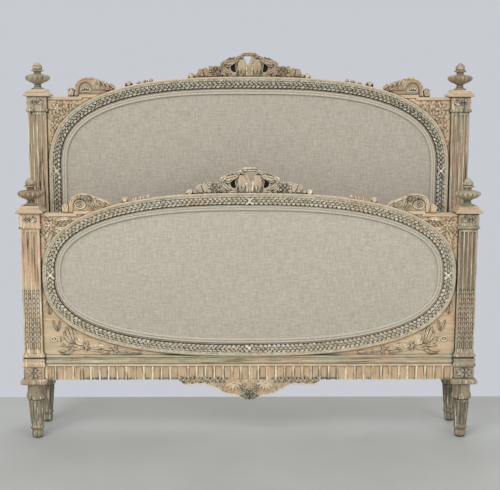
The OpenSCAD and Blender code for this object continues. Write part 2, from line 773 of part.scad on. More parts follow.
// One rosette of eight petals, lying on the plane y = 0 and looking along -Y.
module rosette() {
    petals = 8;
    outline = [
        for (i = [0:8 * petals - 1])
            let (t = 45 * i / petals, r = rosette_r * (0.86 + 0.14 * cos(petals * t)))
                [r * cos(t), r * sin(t)]
    ];
    rotate([90, 0, 0]) {
        linear_extrude(rosette_t * 0.6) polygon(outline);
        cylinder(h = rosette_t, r = rosette_r * 0.34);
    }
}
// Rosettes on the outer and front faces of the blocks, but not where a side rail meets the front.
module rosettes(h, rail_side) {
    color(worn_wood)
        both_sides() translate([post_spacing / 2, 0, 0]) {
            for (a = [0, 90])
                translate([0, 0, h - top_block_h / 2]) rotate(a) translate([0, -half_block, 0]) rosette();
            for (a = rail_side > 0 ? [0, 90] : [90])
                translate([0, 0, bolt_z]) rotate(a) translate([0, -half_block, 0]) rosette();
        }
}
// The room for carving in the corners of a board, between the rim, the post and the mouldings.
module corner_room(stations, h) {
    difference() {
        translate([-inner_x + 4, panel_z + moulding_h])
            square([inner_x, h - shoulder_gap - shoulder_band - panel_z - moulding_h - face_gap]);
        polygon(offset_points(stations, rim_out + 1));
    }
}
// A stem of paired leaves, drawn for the left of a board.
module leaf_stem(from, to, leaves, size) {
    turn = atan2(to[1] - from[1], to[0] - from[0]);
    polygon(leaf_points(from[0], from[1], norm(to - from), 9, turn));
    for (i = [0:leaves - 1], s = [-1, 1]) {
        p = from + (to - from) * (0.12 + 0.8 * i / leaves);
        polygon(leaf_points(p[0], p[1], size * (1 - 0.1 * i), size * 0.3, turn + s * 42));
    }
}
module spray(stations, h) {
    color(worn_wood)
        plate(-frame_face - spray_t, -frame_face)
            intersection() {
                corner_room(stations, h);
                union() children();
            }
}
// The sprays in the upper corners reach down a share of the corner's height, which is from z_mid up.
module upper_spray(stations, h, z_mid) {
    x = -inner_x + 34;
    z = h - 46;
    drop = 0.38 * (h - z_mid);
    spray(stations, h) {
        translate([x, z]) circle(r = 11);
        leaf_stem([x, z], [x + 78, z + 22], 3, 26);
        leaf_stem([x, z], [x - 20, z - drop], 4, drop / 4);
    }
}
module lower_spray(stations, h) {
    x = -inner_x + 46;
    z = panel_z + 62;
    spray(stations, h) {
        translate([x, z]) circle(r = 13);
        leaf_stem([x, z], [x + spray_l, z - 14], 8, 44);
        leaf_stem([x, z], [x - 20, z + spray_l / 2], 5, 34);
    }
}
// The pendant is drawn 512 wide, and is stretched to its own size.
module pendant() {
    y = -frame_face - apron_proud;
    u = pendant_w / 512;
    v = pendant_h / 73;
    half = [[256, 0], [252, -14], [236, -20], [170, -20], [130, -30], [84, -56], [48, -66]];
    other_half = [for (i = [len(half) - 1:-1:0]) [-half[i][0], half[i][1]]];
    color(worn_wood)
        translate([0, 0, apron_z]) {
            plate(y, y + crest_t) polygon(scaled(concat(half, [[0, -73]], other_half), u, v));
            plate(y - carve_t - 2, y) {
                for (i = [-3:3])
                    polygon(scaled(leaf_points(8 * i, 2, 68 - 3 * abs(i), 18, -90 + 14 * i), u, v));
                for (s = [-1, 1], i = [0:5]) {
                    turn = s > 0 ? -26 : 206;
                    polygon(scaled(leaf_points(s * (70 + 28 * i), 8 - i, 46 - 2 * i, 20, turn), u, v));
                }
            }
        }
}

at_head() on_side(-1) post(head_post_h, -1);  // head_post_left
at_head() on_side(1) post(head_post_h, -1);  // head_post_right
at_head() on_side(-1) cap(head_post_h);  // head_cap_left
at_head() on_side(1) cap(head_post_h);  // head_cap_right
at_head() on_side(-1) finial(head_post_h);  // head_finial_left
at_head() on_side(1) finial(head_post_h);  // head_finial_right
at_head() apron_rail(head_post_h, 0, 0);  // head_apron_rail
at_head() bottom_rail(head_stations, head_post_h, head_joint_z, head_stile_top);  // head_bottom_rail
at_head() stile(head_stations, head_post_h, head_joint_z, head_stile_top, -1);  // head_stile_left
at_head() stile(head_stations, head_post_h, head_joint_z, head_stile_top, 1);  // head_stile_right
at_head() top_rail(head_stations, head_post_h, head_joint_z, head_stile_top);  // head_top_rail
at_head() pegs(head_post_h);  // head_pegs
at_head() carved_band(head_stations);  // head_carved_band
at_head() welt(head_stations);  // head_welt
at_head() linen_cover(head_stations);  // head_linen_cover
at_head() padding(head_stations);  // head_padding
at_head() backing_board(head_stations);  // head_backing_board
at_head() back_cloth(head_stations);  // head_back_cloth
at_head() back_tacks(head_stations);  // head_back_tacks
at_head() crest(head_stations);  // head_crest
at_head() scroll(head_stations, head_post_h);  // head_scroll_left
at_head() mirror([1, 0, 0]) scroll(head_stations, head_post_h);  // head_scroll_right
at_head() sprigs(head_stations);  // head_sprigs
at_head() rosettes(head_post_h, -1);  // head_rosettes
at_head() upper_spray(head_stations, head_post_h, head_spring_z);  // head_spray_left
at_head() mirror([1, 0, 0]) upper_spray(head_stations, head_post_h, head_spring_z);  // head_spray_right
at_foot() on_side(-1) post(foot_post_h, 1);  // foot_post_left
at_foot() on_side(1) post(foot_post_h, 1);  // foot_post_right
at_foot() on_side(-1) cap(foot_post_h);  // foot_cap_left
at_foot() on_side(1) cap(foot_post_h);  // foot_cap_right
at_foot() on_side(-1) finial(foot_post_h);  // foot_finial_left
at_foot() on_side(1) finial(foot_post_h);  // foot_finial_right
at_foot() apron_rail(foot_post_h, apron_flutes, apron_proud);  // foot_apron_rail
at_foot() apron_moulding();  // foot_apron_moulding
at_foot() bottom_rail(foot_stations, foot_post_h, foot_stile_z, foot_stile_top);  // foot_bottom_rail
at_foot() stile(foot_stations, foot_post_h, foot_stile_z, foot_stile_top, -1);  // foot_stile_left
at_foot() stile(foot_stations, foot_post_h, foot_stile_z, foot_stile_top, 1);  // foot_stile_right
at_foot() top_rail(foot_stations, foot_post_h, foot_stile_z, foot_stile_top);  // foot_top_rail
at_foot() pegs(foot_post_h);  // foot_pegs
at_foot() carved_band(foot_stations);  // foot_carved_band
at_foot() welt(foot_stations);  // foot_welt
at_foot() linen_cover(foot_stations);  // foot_linen_cover
at_foot() padding(foot_stations);  // foot_padding
at_foot() backing_board(foot_stations);  // foot_backing_board
at_foot() back_cloth(foot_stations);  // foot_back_cloth
at_foot() back_tacks(foot_stations);  // foot_back_tacks
at_foot() crest(foot_stations);  // foot_crest
at_foot() scroll(foot_stations, foot_post_h);  // foot_scroll_left
at_foot() mirror([1, 0, 0]) scroll(foot_stations, foot_post_h);  // foot_scroll_right
at_foot() sprigs(foot_stations);  // foot_sprigs
at_foot() pendant();  // foot_pendant
at_foot() rosettes(foot_post_h, 1);  // foot_rosettes
at_foot() upper_spray(foot_stations, foot_post_h, foot_centre_z);  // foot_spray_upper_left
at_foot() mirror([1, 0, 0]) upper_spray(foot_stations, foot_post_h, foot_centre_z);  // foot_spray_upper_right
at_foot() lower_spray(foot_stations, foot_post_h);  // foot_spray_lower_left
at_foot() mirror([1, 0, 0]) lower_spray(foot_stations, foot_post_h);  // foot_spray_lower_right
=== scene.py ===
"""Looks for a carved and painted bedstead: a high head board, and a lower foot board in front of it.

Every size is in millimetres. X runs along the width of a board, Z is up from the floor, and a height forward
is counted from the board's centre plane towards its front. `Board.place` turns them into the frame's metres.
"""

import logging
import math
from dataclasses import dataclass
from enum import Enum
from functools import cache
from typing import Callable, Sequence

import bmesh
import bpy
import numpy as np
from mathutils import Matrix, Vector


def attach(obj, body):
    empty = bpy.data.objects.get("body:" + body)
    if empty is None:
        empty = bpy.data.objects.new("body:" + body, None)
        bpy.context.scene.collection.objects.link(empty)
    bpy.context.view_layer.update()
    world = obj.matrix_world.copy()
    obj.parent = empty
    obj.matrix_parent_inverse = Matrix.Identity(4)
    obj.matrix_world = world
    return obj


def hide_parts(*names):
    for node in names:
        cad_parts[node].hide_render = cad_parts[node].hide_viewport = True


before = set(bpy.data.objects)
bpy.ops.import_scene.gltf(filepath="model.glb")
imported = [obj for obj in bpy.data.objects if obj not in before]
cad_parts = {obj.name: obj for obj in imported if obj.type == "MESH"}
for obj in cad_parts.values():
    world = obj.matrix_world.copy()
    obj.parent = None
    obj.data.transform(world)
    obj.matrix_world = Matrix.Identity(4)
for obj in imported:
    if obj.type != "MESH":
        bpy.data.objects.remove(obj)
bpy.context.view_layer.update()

MM = 0.001
LOG = logging.getLogger("bedstead")
Pair = Sequence[float]
RGB = tuple[int, int, int]
Triple = tuple[float, float, float]
Colour = tuple[float, float, float, float]
Faces = list[tuple[int, ...]]
Piece = bpy.types.Object


def tone(*channels: int) -> Colour:
    """Turn red, green and blue of 0 to 255 into the linear colour that the shaders use.

    Args:
        *channels: Red, green and blue.

    Returns:
        The colour, with an alpha of one.
    """
    shares = [value / 255 for value in channels]
    return (*(share / 12.92 if share <= 0.04045 else ((share + 0.055) / 1.055) ** 2.4 for share in shares),
            1.0)


# Modelling


@dataclass(frozen=True)
class Pattern:
    """A shape that is modelled once and copied: its points and its faces."""

    points: np.ndarray
    faces: Faces


class Bench:
    """The steps of modelling that the pieces share, each as it would be done by hand."""

    @staticmethod
    def clear() -> None:
        """Leave edit mode and deselect everything."""
        if bpy.context.object is not None and bpy.context.object.mode != "OBJECT":
            bpy.ops.object.mode_set(mode="OBJECT")
        bpy.ops.object.select_all(action="DESELECT")

    @staticmethod
    def take(*pieces: Piece) -> None:
        """Select these pieces alone, and make the first one active."""
        Bench.clear()
        for piece in pieces:
            piece.select_set(True)
        bpy.context.view_layer.objects.active = pieces[0]

    @staticmethod
    def join(*pieces: Piece) -> None:
        """Join pieces into the first one."""
        Bench.take(*pieces)
        bpy.ops.object.join()

    @staticmethod
    def edit(piece: Piece) -> None:
        """Open a piece in edit mode with nothing selected.

        Args:
            piece: The piece.
        """
        Bench.take(piece)
        bpy.ops.object.mode_set(mode="EDIT")
        bpy.ops.mesh.select_mode(type="VERT")
        bpy.ops.mesh.select_all(action="DESELECT")

    @staticmethod
    def pick(piece: Piece, test: Callable[[Vector], bool]) -> None:
        """Select the vertices of an open piece whose place passes a test.

        Args:
            piece: The piece.
            test: Says of a place whether it is picked.
        """
        mesh = bmesh.from_edit_mesh(piece.data)
        for vertex in mesh.verts:
            vertex.select_set(test(vertex.co))
        mesh.select_flush_mode()
        bmesh.update_edit_mesh(piece.data)

    @staticmethod
    def close(piece: Piece, merge: float = 0.0) -> None:
        """Merge vertices closer than a distance in metres, and turn the faces of a piece outwards.

        Args:
            piece: The piece.
            merge: The distance, or nothing to merge none.
        """
        Bench.edit(piece)
        bpy.ops.mesh.select_all(action="SELECT")
        if merge:
            bpy.ops.mesh.remove_doubles(threshold=merge)
        bpy.ops.mesh.normals_make_consistent(inside=False)
        bpy.ops.object.mode_set(mode="OBJECT")

    @staticmethod
    def smooth(piece: Piece, degrees: float = 50) -> None:
        """Shade a piece smooth where its faces meet at less than an angle."""
        Bench.take(piece)
        bpy.ops.object.shade_smooth_by_angle(angle=math.radians(degrees))

    @staticmethod
    def settle(piece: Piece) -> None:
        """Apply a piece's modifiers, and put its place, turn and scale into its mesh.

        Args:
            piece: The piece.
        """
        Bench.take(piece)
        for modifier in list(piece.modifiers):
            bpy.ops.object.modifier_apply(modifier=modifier.name)
        bpy.ops.object.transform_apply(location=True, rotation=True, scale=True)

    @staticmethod
    def lift(piece: Piece) -> Pattern:
        """Take the mesh of a modelled piece as a pattern, and remove the piece.

        Args:
            piece: The piece.

        Returns:
            The pattern.
        """
        mesh = piece.data
        points = np.array([vertex.co for vertex in mesh.vertices], float)
        faces = [tuple(face.vertices) for face in mesh.polygons]
        bpy.data.objects.remove(piece)
        bpy.data.meshes.remove(mesh)
        return Pattern(points, faces)


class Patterns:
    """The small carved shapes, each modelled once at unit size: along +X, across Y, height along +Z."""

    def __init__(self) -> None:
        """Model every pattern."""
        self.leaf = self.blade((0.16, 0.62, 0.95, 1.0, 0.86, 0.5, 0.02), (0.0, 1.0, 0.5, 1.0, 0.0),
                               (0.55, 0.9, 1.0, 1.0, 0.95, 0.8, 0.45))
        self.small_leaf = self.blade((0.2, 1.0, 0.8, 0.02), (0.0, 1.0, 0.0), (0.5, 0.9, 1.0, 0.6))
        self.rib = self.blade((0.5, 0.86, 1.0, 0.98, 0.84, 0.6), (0.0, 0.85, 1.0, 0.85, 0.0),
                              (0.7, 0.95, 1.0, 1.0, 0.9, 0.6))
        self.petal = self.blade((0.24, 0.7, 1.0, 0.94, 0.5), (0.5, 0.72, 0.45, 0.72, 0.5),
                                (0.45, 0.75, 1.0, 1.05, 0.7))
        self.lobed = self.blade(
            (0.2, 0.72, 0.58, 1.0, 0.74, 1.0, 0.68, 0.76, 0.46, 0.02),
            (0.0, 0.75, 0.95, 0.5, 0.95, 0.75, 0.0),
            (0.55, 1.0, 0.72, 1.05, 0.75, 1.05, 0.75, 1.0, 0.75, 0.5))
        self.bead = self.berry(10, 5)
        self.small_bead = self.berry(6, 4)

    @staticmethod
    def blade(widths: Pair, rows: Pair, swell: Pair) -> Pattern:
        """Model a closed blade, such as a leaf or a petal, from a grid.

        Args:
            widths: Its width at even steps from root to tip.
            rows: The height of its top at even steps from one margin to the other.
            swell: What the heights are multiplied by at each step from root to tip.

        Returns:
            The blade, one long, one wide and one high, with its underside a little below zero.
        """
        Bench.clear()
        bpy.ops.mesh.primitive_grid_add(
            x_subdivisions=len(widths) - 1, y_subdivisions=len(rows) - 1, size=1, location=(0.5, 0, 0))
        piece = bpy.context.object
        bpy.ops.object.transform_apply(location=True, rotation=True, scale=True)
        Bench.edit(piece)
        for index, height in enumerate(rows):
            side = index / (len(rows) - 1) - 0.5
            Bench.pick(piece, lambda place: abs(place.y - side) < 0.01)
            bpy.ops.transform.translate(value=(0, 0, height))
        for index, (width, share) in enumerate(zip(widths, swell)):
            along = index / (len(widths) - 1)
            Bench.pick(piece, lambda place: abs(place.x - along) < 0.01)
            bpy.ops.transform.resize(value=(1, width, share), center_override=(along, 0, 0))
        bpy.ops.mesh.select_all(action="SELECT")
        bpy.ops.mesh.extrude_region_move(TRANSFORM_OT_translate={"value": (0, 0, -0.4)})
        bpy.ops.transform.resize(value=(1, 1, 0), center_override=(0, 0, -0.4))
        bpy.ops.object.mode_set(mode="OBJECT")
        Bench.close(piece, merge=0.012)
        return Bench.lift(piece)

    @staticmethod
    def berry(segments: int, rings: int) -> Pattern:
        """Model a berry: a ball, one across, with a flat seat and a dimple at its top.

        Args:
            segments: How many facets go round it.
            rings: How many facets it is high.

        Returns:
            The berry.
        """
        Bench.clear()
        bpy.ops.mesh.primitive_uv_sphere_add(segments=segments, ring_count=rings, radius=0.5)
        piece = bpy.context.object
        Bench.edit(piece)
        Bench.pick(piece, lambda place: place.z > 0.499)
        bpy.ops.transform.translate(value=(0, 0, -0.12))
        Bench.pick(piece, lambda place: place.z < -0.2)
        bpy.ops.transform.resize(value=(1, 1, 0.3), center_override=(0, 0, -0.2))
        bpy.ops.object.mode_set(mode="OBJECT")
        return Bench.lift(piece)


@cache
def patterns() -> Patterns:
    """Return the carved shapes, modelled the first time."""
    return Patterns()


class Outline:
    """The closed edge of a board's upholstery, as points in X and Z with outward normals."""

    FINE = 900

    def __init__(self, points: np.ndarray, normals: np.ndarray) -> None:
        """Keep the edge, given as matching rows of points and normals."""
        self.points = points
        self.normals = normals

    def line(self, offset: float) -> np.ndarray:
        """Return the line that lies a distance outside the edge."""
        return self.points + offset * self.normals

    def ring(self, offset: float, count: int, start: float = 0.0) -> tuple[np.ndarray, np.ndarray]:
        """Place even steps on the line that lies a distance outside the edge.

        Args:
            offset: The distance outwards, or inwards where it is below zero.
            count: How many steps there are round the ring.
            start: Where the first step is, as a share of one step from the top of the board.

        Returns:
            The points and the outward normals, one row a step.
        """
        line = self.line(offset)
        closed = np.vstack([line, line[:1]])
        normals = np.vstack([self.normals, self.normals[:1]])
        length = np.concatenate([[0], np.cumsum(np.linalg.norm(np.diff(closed, axis=0), axis=1))])
        total = length[-1]
        top = length[np.argmax(np.where(np.abs(line[:, 0]) < 4, line[:, 1], -1e9))]
        steps = (top + (np.arange(count) + start) * total / count) % total
        found = [np.interp(steps, length, column) for column in (*closed.T, *normals.T)]
        out = np.column_stack(found[2:])
        return np.column_stack(found[:2]), out / np.linalg.norm(out, axis=1, keepdims=True)

    def gap(self, x: float, z: float, offset: float) -> float:
        """Return how far a place lies outside an offset line, below zero where it lies inside.

        Args:
            x: Where the place is along the width.
            z: Its height.
            offset: How far outside the edge the line lies.

        Returns:
            The distance.
        """
        line = self.line(offset)
        index = int(np.argmin(np.hypot(line[:, 0] - x, line[:, 1] - z)))
        return float(np.dot(np.array([x, z]) - line[index], self.normals[index]))

    def length(self, offset: float) -> float:
        """Return the length of an offset line."""
        line = self.line(offset)
        return float(np.linalg.norm(line - np.roll(line, 1, axis=0), axis=1).sum())

    def top(self, x: float, offset: float) -> float:
        """Return the height of the upper side of an offset line at a place along the width.

        Args:
            x: The place along the width.
            offset: How far outside the edge the line lies.

        Returns:
            The height.
        """
        line = self.line(offset)
        upper = line[line[:, 1] > (line[:, 1].max() + line[:, 1].min()) / 2]
        order = np.argsort(upper[:, 0])
        return float(np.interp(x, upper[order, 0], upper[order, 1]))


def superellipse(half_width: float, half_height: float, power: float, middle: float,
                 degrees: np.ndarray) -> tuple[np.ndarray, np.ndarray]:
    """Return points and outward normals on a squared oval, at angles in degrees, its middle at a height.

    Args:
        half_width: Half its width.
        half_height: Half its height.
        power: How square it is, 2 for an ellipse.
        middle: The height of its middle.
        degrees: The angles.

    Returns:
        The points, and the outward normals.
    """
    cos, sin = np.cos(np.radians(degrees)), np.sin(np.radians(degrees))
    x = half_width * np.sign(cos) * np.abs(cos) ** (2 / power)
    z = half_height * np.sign(sin) * np.abs(sin) ** (2 / power)
    out = np.column_stack([np.sign(x) * np.abs(x / half_width) ** (power - 1) / half_width,
                           np.sign(z) * np.abs(z / half_height) ** (power - 1) / half_height])
    return np.column_stack([x, middle + z]), out / np.linalg.norm(out, axis=1, keepdims=True)


@dataclass(frozen=True)
class Board:
    """One board of the bedstead: its name, its body, and its main sizes."""

    name: str
    body: str
    depth: float
    post_h: float
    open_z: float
    arch_h: float
    power: float
    corner_r: float

    SIGHT_X = 706.0
    FACE = 18.0
    RIM_OUT = 45.0
    APRON_Z = 224.0

    @property
    def shoulder(self) -> float:
        """Height of the shoulders, where the frame meets the posts."""
        return self.post_h - 1

    @property
    def outline(self) -> Outline:
        """The edge of the upholstery: a full oval, or an arch on rounded lower corners.

        Returns:
            The edge, as points and normals.
        """
        top = self.shoulder + 28
        if not self.corner_r:
            half = (top - self.open_z) / 2
            degrees = np.linspace(0, 360, Outline.FINE * 2, endpoint=False)
            return Outline(*superellipse(self.SIGHT_X, half, self.power, top - half, degrees))
        points, normals = superellipse(
            self.SIGHT_X, self.arch_h, self.power, top - self.arch_h, np.linspace(0, 180, Outline.FINE))
        rows, outs = [points], [normals]
        for side, start in ((-1, 180), (1, 270)):
            angle = np.radians(np.linspace(start, start + 90, 40))
            out = np.column_stack([np.cos(angle), np.sin(angle)])
            corner = [side * (self.SIGHT_X - self.corner_r), self.open_z + self.corner_r]
            rows.append(corner + self.corner_r * out)
            outs.append(out)
        return Outline(np.vstack(rows), np.vstack(outs))

    def place(self, points: np.ndarray) -> np.ndarray:
        """Turn rows of X, Z and height forward into places in the frame, in metres."""
        return np.column_stack([points[:, 0], self.depth - points[:, 2], points[:, 1]]) * MM


HEAD = Board("head", "headboard", 95.0, 1258.0, 400.0, 304.0, 2.75, 60.0)
FOOT = Board("foot", "footboard", -95.0, 843.0, 360.0, 0.0, 2.55, 0.0)


def beside(path: np.ndarray, closed: bool = False) -> np.ndarray:
    """Return, for each step of a line, the direction one long to its left.

    Args:
        path: The line, one row a step.
        closed: Whether its end joins its start.

    Returns:
        The directions, one row a step.
    """
    run = np.roll(path, -1, axis=0) - np.roll(path, 1, axis=0) if closed else np.gradient(path, axis=0)
    run /= np.linalg.norm(run, axis=1, keepdims=True)
    return np.column_stack([-run[:, 1], run[:, 0]])


def ring_faces(rings: Sequence[int], sides: int, closed: bool = True) -> Faces:
    """Join rings of points that follow each other.

    Args:
        rings: The numbers of the rings, in the order in which each is joined to the next.
        sides: How many points a ring has.
        closed: Whether the last ring is joined to the first.

    Returns:
        The faces between them.
    """
    after = [*rings[1:], rings[0]] if closed else rings[1:]
    return [(a * sides + j, a * sides + (j + 1) % sides, b * sides + (j + 1) % sides, b * sides + j)
            for a, b in zip(rings, after) for j in range(sides)]


def fan_faces(ring: int, sides: int, middle: int) -> Faces:
    """Close a ring of points with triangles that meet at one point."""
    return [(ring * sides + j, ring * sides + (j + 1) % sides, middle) for j in range(sides)]


class Relief:
    """A carving: closed shapes laid on a face, kept in X, Z and height forward until it is built."""

    def __init__(self, seed: int = 1) -> None:
        """Start an empty carving with its own source of small differences.

        Args:
            seed: Where its random draws start.
        """
        self.chance = np.random.default_rng(seed)
        self.points: list[np.ndarray] = []
        self.rises: list[np.ndarray] = []
        self.faces: Faces = []
        self.count = 0

    def add(self, points: np.ndarray, faces: Faces, rises: np.ndarray) -> None:
        """Add closed shapes, with how high each point stands on its shape from 0 to 1.

        Args:
            points: Their points, in X, Z and height forward.
            faces: Their faces, counted from zero.
            rises: How high each point stands.
        """
        self.faces.extend(tuple(index + self.count for index in face) for face in faces)
        self.points.append(points)
        self.rises.append(np.clip(rises, 0, 1))
        self.count += len(points)

    def copy_in(self, other: "Relief", move: Callable[[np.ndarray], np.ndarray], flip: bool = False) -> None:
        """Add all of another carving.

        Args:
            other: The carving to copy.
            move: Gives the new places of its points.
            flip: Whether its faces are turned over, because it is mirrored.
        """
        faces = [face[::-1] for face in other.faces] if flip else other.faces
        self.add(move(np.vstack(other.points)), faces, np.concatenate(other.rises))

    def leaf(self, start: Pair, end: Pair, width: float, height: float, base: float, bow: float = 0.0,
             tip: float = 0.0, pattern: Pattern | None = None) -> None:
        """Lay one leaf, petal or rib.

        Args:
            start: Its root, in X and Z.
            end: Its tip, in X and Z.
            width: Its width at the widest.
            height: Its height.
            base: The height forward of the face that it lies on.
            bow: How far its middle bends to its left, as a share of its length.
            tip: How much further forward its tip stands.
            pattern: The shape to use, a plain leaf if none is given.
        """
        shape = pattern or patterns().leaf
        along, across, up = shape.points.T
        start, end = np.asarray(start, float), np.asarray(end, float)
        span = end - start
        length = np.linalg.norm(span)
        side = np.array([-span[1], span[0]]) / length
        curve = start + np.outer(along, span) + np.outer(4 * bow * length * along * (1 - along), side)
        run = span + np.outer(4 * bow * length * (1 - 2 * along), side)
        run /= np.linalg.norm(run, axis=1, keepdims=True)
        flat = curve + np.column_stack([-run[:, 1], run[:, 0]]) * (across * width)[:, None]
        self.add(np.column_stack([flat, base + up * height + along ** 2 * tip]), shape.faces, up)

    def leaves(self, rows: Sequence[tuple], height: float, base: float, tip: float = 0.0,
               at: Callable[[float, float], np.ndarray] | None = None, **look) -> None:
        """Lay leaves from a table.

        Args:
            rows: For each leaf its root, its tip, its width and, where it bends, its bow.
            height: Their height.
            base: The height forward of the face that they lie on.
            tip: How much further forward their tips stand.
            at: Turns a place of the table into a place on the board.
            **look: What else they share.
        """
        for start, end, width, *bow in rows:
            if at:
                start, end = at(*start), at(*end)
            self.leaf(start, end, width, height, base, *bow, tip=tip, **look)

    def bead(self, centre: Pair, radius: float, base: float, height: float, fine: bool = True) -> None:
        """Lay a berry of a radius and a height on a face, with fine facets or with few.

        Args:
            centre: Its middle, in X and Z.
            radius: Its radius.
            base: The height forward of the face.
            height: Its height.
            fine: Whether it has fine facets.
        """
        shape = patterns().bead if fine else patterns().small_bead
        along, across, up = shape.points.T
        self.add(np.column_stack([centre[0] + along * 2 * radius, centre[1] + across * 2 * radius,
                                  base + up * 2 * height]), shape.faces, up + 0.5)

    def flower(self, centre: Pair, radius: float, base: float, petals: int, height: float,
               eye: bool = False) -> None:
        """Lay a flower with two rings of petals, round a hollow or, where it has an eye, a berry.

        Args:
            centre: Its middle, in X and Z.
            radius: How far its petals reach.
            base: The height forward of the face.
            petals: How many petals the outer ring has.
            height: Its height.
            eye: Whether it has a berry in its middle.
        """
        for layer, (reach, count, rise) in enumerate(((1.0, petals, 0.0), (0.62, max(petals - 1, 4), 0.35))):
            for index in range(count):
                angle = 2 * math.pi * (index + 0.5 * layer) / count
                way = np.array([math.cos(angle), math.sin(angle)])
                root = 0.12 if eye else 0.30 - 0.02 * layer
                self.leaf(centre + way * radius * root, centre + way * radius * reach,
                          2.3 * radius * reach / count, height * 0.7, base + height * rise, tip=height * 0.12,
                          pattern=patterns().petal)
        if eye:
            self.bead(centre, radius * 0.22, base + height * 0.5, height * 0.45)

    def strip(self, path: np.ndarray, widths: np.ndarray | float, heights: np.ndarray | float, base: float,
              ribs: int = 1, closed: bool = False, forward: np.ndarray | float = 0.0) -> None:
        """Lay a rounded or ribbed strip along a line.

        Args:
            path: The line, one row a step, in X and Z.
            widths: Its width, the same all along or one a step.
            heights: Its height, the same all along or one a step.
            base: The height forward of the face that it lies on.
            ribs: How many rounded ribs it has.
            closed: Whether its end joins its start.
            forward: How much further forward it lies, the same all along or one a step.
        """
        count = len(path)
        side = beside(path, closed)
        across = np.linspace(-0.5, 0.5, 4 * ribs + 1)
        crown = np.sqrt(np.clip(1 - (2 * across) ** 4, 0, 1))
        up = crown * (0.55 + 0.45 * np.abs(np.sin(np.pi * (across + 0.5) * ribs)))
        across = np.concatenate([across, [0.5, -0.5]])
        up = np.concatenate([up, [-0.4, -0.4]])
        wide, tall, out = (np.broadcast_to(values, count) for values in (widths, heights, forward))
        rows = [np.column_stack([path[k] + side[k] * (across * wide[k])[:, None],
                                 base + out[k] + up * tall[k]])
                for k in range(count)]
        sides = len(across)
        faces = ring_faces(range(count), sides, closed)
        if not closed:
            faces += [tuple(range(sides)), tuple(range((count - 1) * sides, count * sides))]
        self.add(np.vstack(rows), faces, np.tile(up, count))

    def foliage(self, inside: Callable[[float, float], bool], box: Sequence[float], size: float, base: float,
                turn: Callable[[float, float], float], height: float) -> None:
        """Cover a stretch of a face with small curled leaves.

        Args:
            inside: Says whether a place in X and Z may be covered.
            box: The least X and Z and the greatest X and Z of the stretch.
            size: Length of a leaf.
            base: The height forward of the face.
            turn: The angle of a leaf at a place, in radians.
            height: Height of a leaf.
        """
        for row, z in enumerate(np.arange(box[1], box[3], size * 0.62)):
            for x in np.arange(box[0] + (row % 2) * size * 0.5, box[2], size):
                angle = turn(x, z) + self.chance.uniform(-0.45, 0.45)
                way = np.array([math.cos(angle), math.sin(angle)]) * size * 0.56
                centre = np.array([x, z])
                if inside(*(centre + way)) and inside(*(centre - way)):
                    self.leaf(centre - way, centre + way, size * 0.56, height * self.chance.uniform(0.8, 1.2),
                              base, bow=0.22 * (1 if (row + int(x)) % 2 else -1), tip=0.6)

    def mirrored(self) -> "Relief":
        """Return this carving mirrored to the other side of the board.

        Returns:
            The mirror image.
        """
        other = Relief()
        other.copy_in(self, lambda points: points * np.array([-1, 1, 1]), flip=True)
        return other

    def doubled(self) -> "Relief":
        """Return this carving together with its mirror image on the other side of the board.

        Returns:
            Both halves, this one first.
        """
        both = Relief()
        for one in (self, self.mirrored()):
            both.copy_in(one, lambda points: points)
        return both

    def build(self, name: str, board: Board) -> Piece:
        """Make the mesh object of the carving, in place on its board.

        Args:
            name: Name of the piece.
            board: The board.

        Returns:
            The piece.
        """
        piece = mesh_object(name, board.place(np.vstack(self.points)), self.faces)
        rise = piece.data.attributes.new("rise", "FLOAT", "POINT")
        rise.data.foreach_set("value", np.concatenate(self.rises).astype(np.float32))
        Bench.close(piece)
        Bench.smooth(piece)
        return piece


def smooth_line(points: Sequence[Pair] | np.ndarray, steps: int, closed: bool = False) -> np.ndarray:
    """Draw an even, smooth line through points.

    Args:
        points: The points that it passes through, in X and Z.
        steps: How many rows the line has for each span between two points.
        closed: Whether its end joins its start.

    Returns:
        The line, one row a step.
    """
    nodes = np.asarray(points, float)
    count = len(nodes)
    rows = []
    for index in range(count if closed else count - 1):
        a, b, c, d = (nodes[k % count if closed else min(max(k, 0), count - 1)]
                      for k in range(index - 1, index + 3))
        t = np.linspace(0, 1, steps, endpoint=False)[:, None]
        rows.append(0.5 * (2 * b + (c - a) * t + (2 * a - 5 * b + 4 * c - d) * t ** 2
                           + (3 * b - a - 3 * c + d) * t ** 3))
    return np.vstack(rows if closed else [*rows, nodes[-1:]])


def mesh_object(name: str, points: np.ndarray, faces: Faces) -> Piece:
    """Make a mesh object from places in metres and faces.

    Args:
        name: Name of the piece.
        points: The places.
        faces: The faces.

    Returns:
        The piece.
    """
    mesh = bpy.data.meshes.new(name)
    mesh.from_pydata(points.tolist(), [], faces)
    mesh.update()
    piece = bpy.data.objects.new(name, mesh)
    bpy.context.scene.collection.objects.link(piece)
    return piece


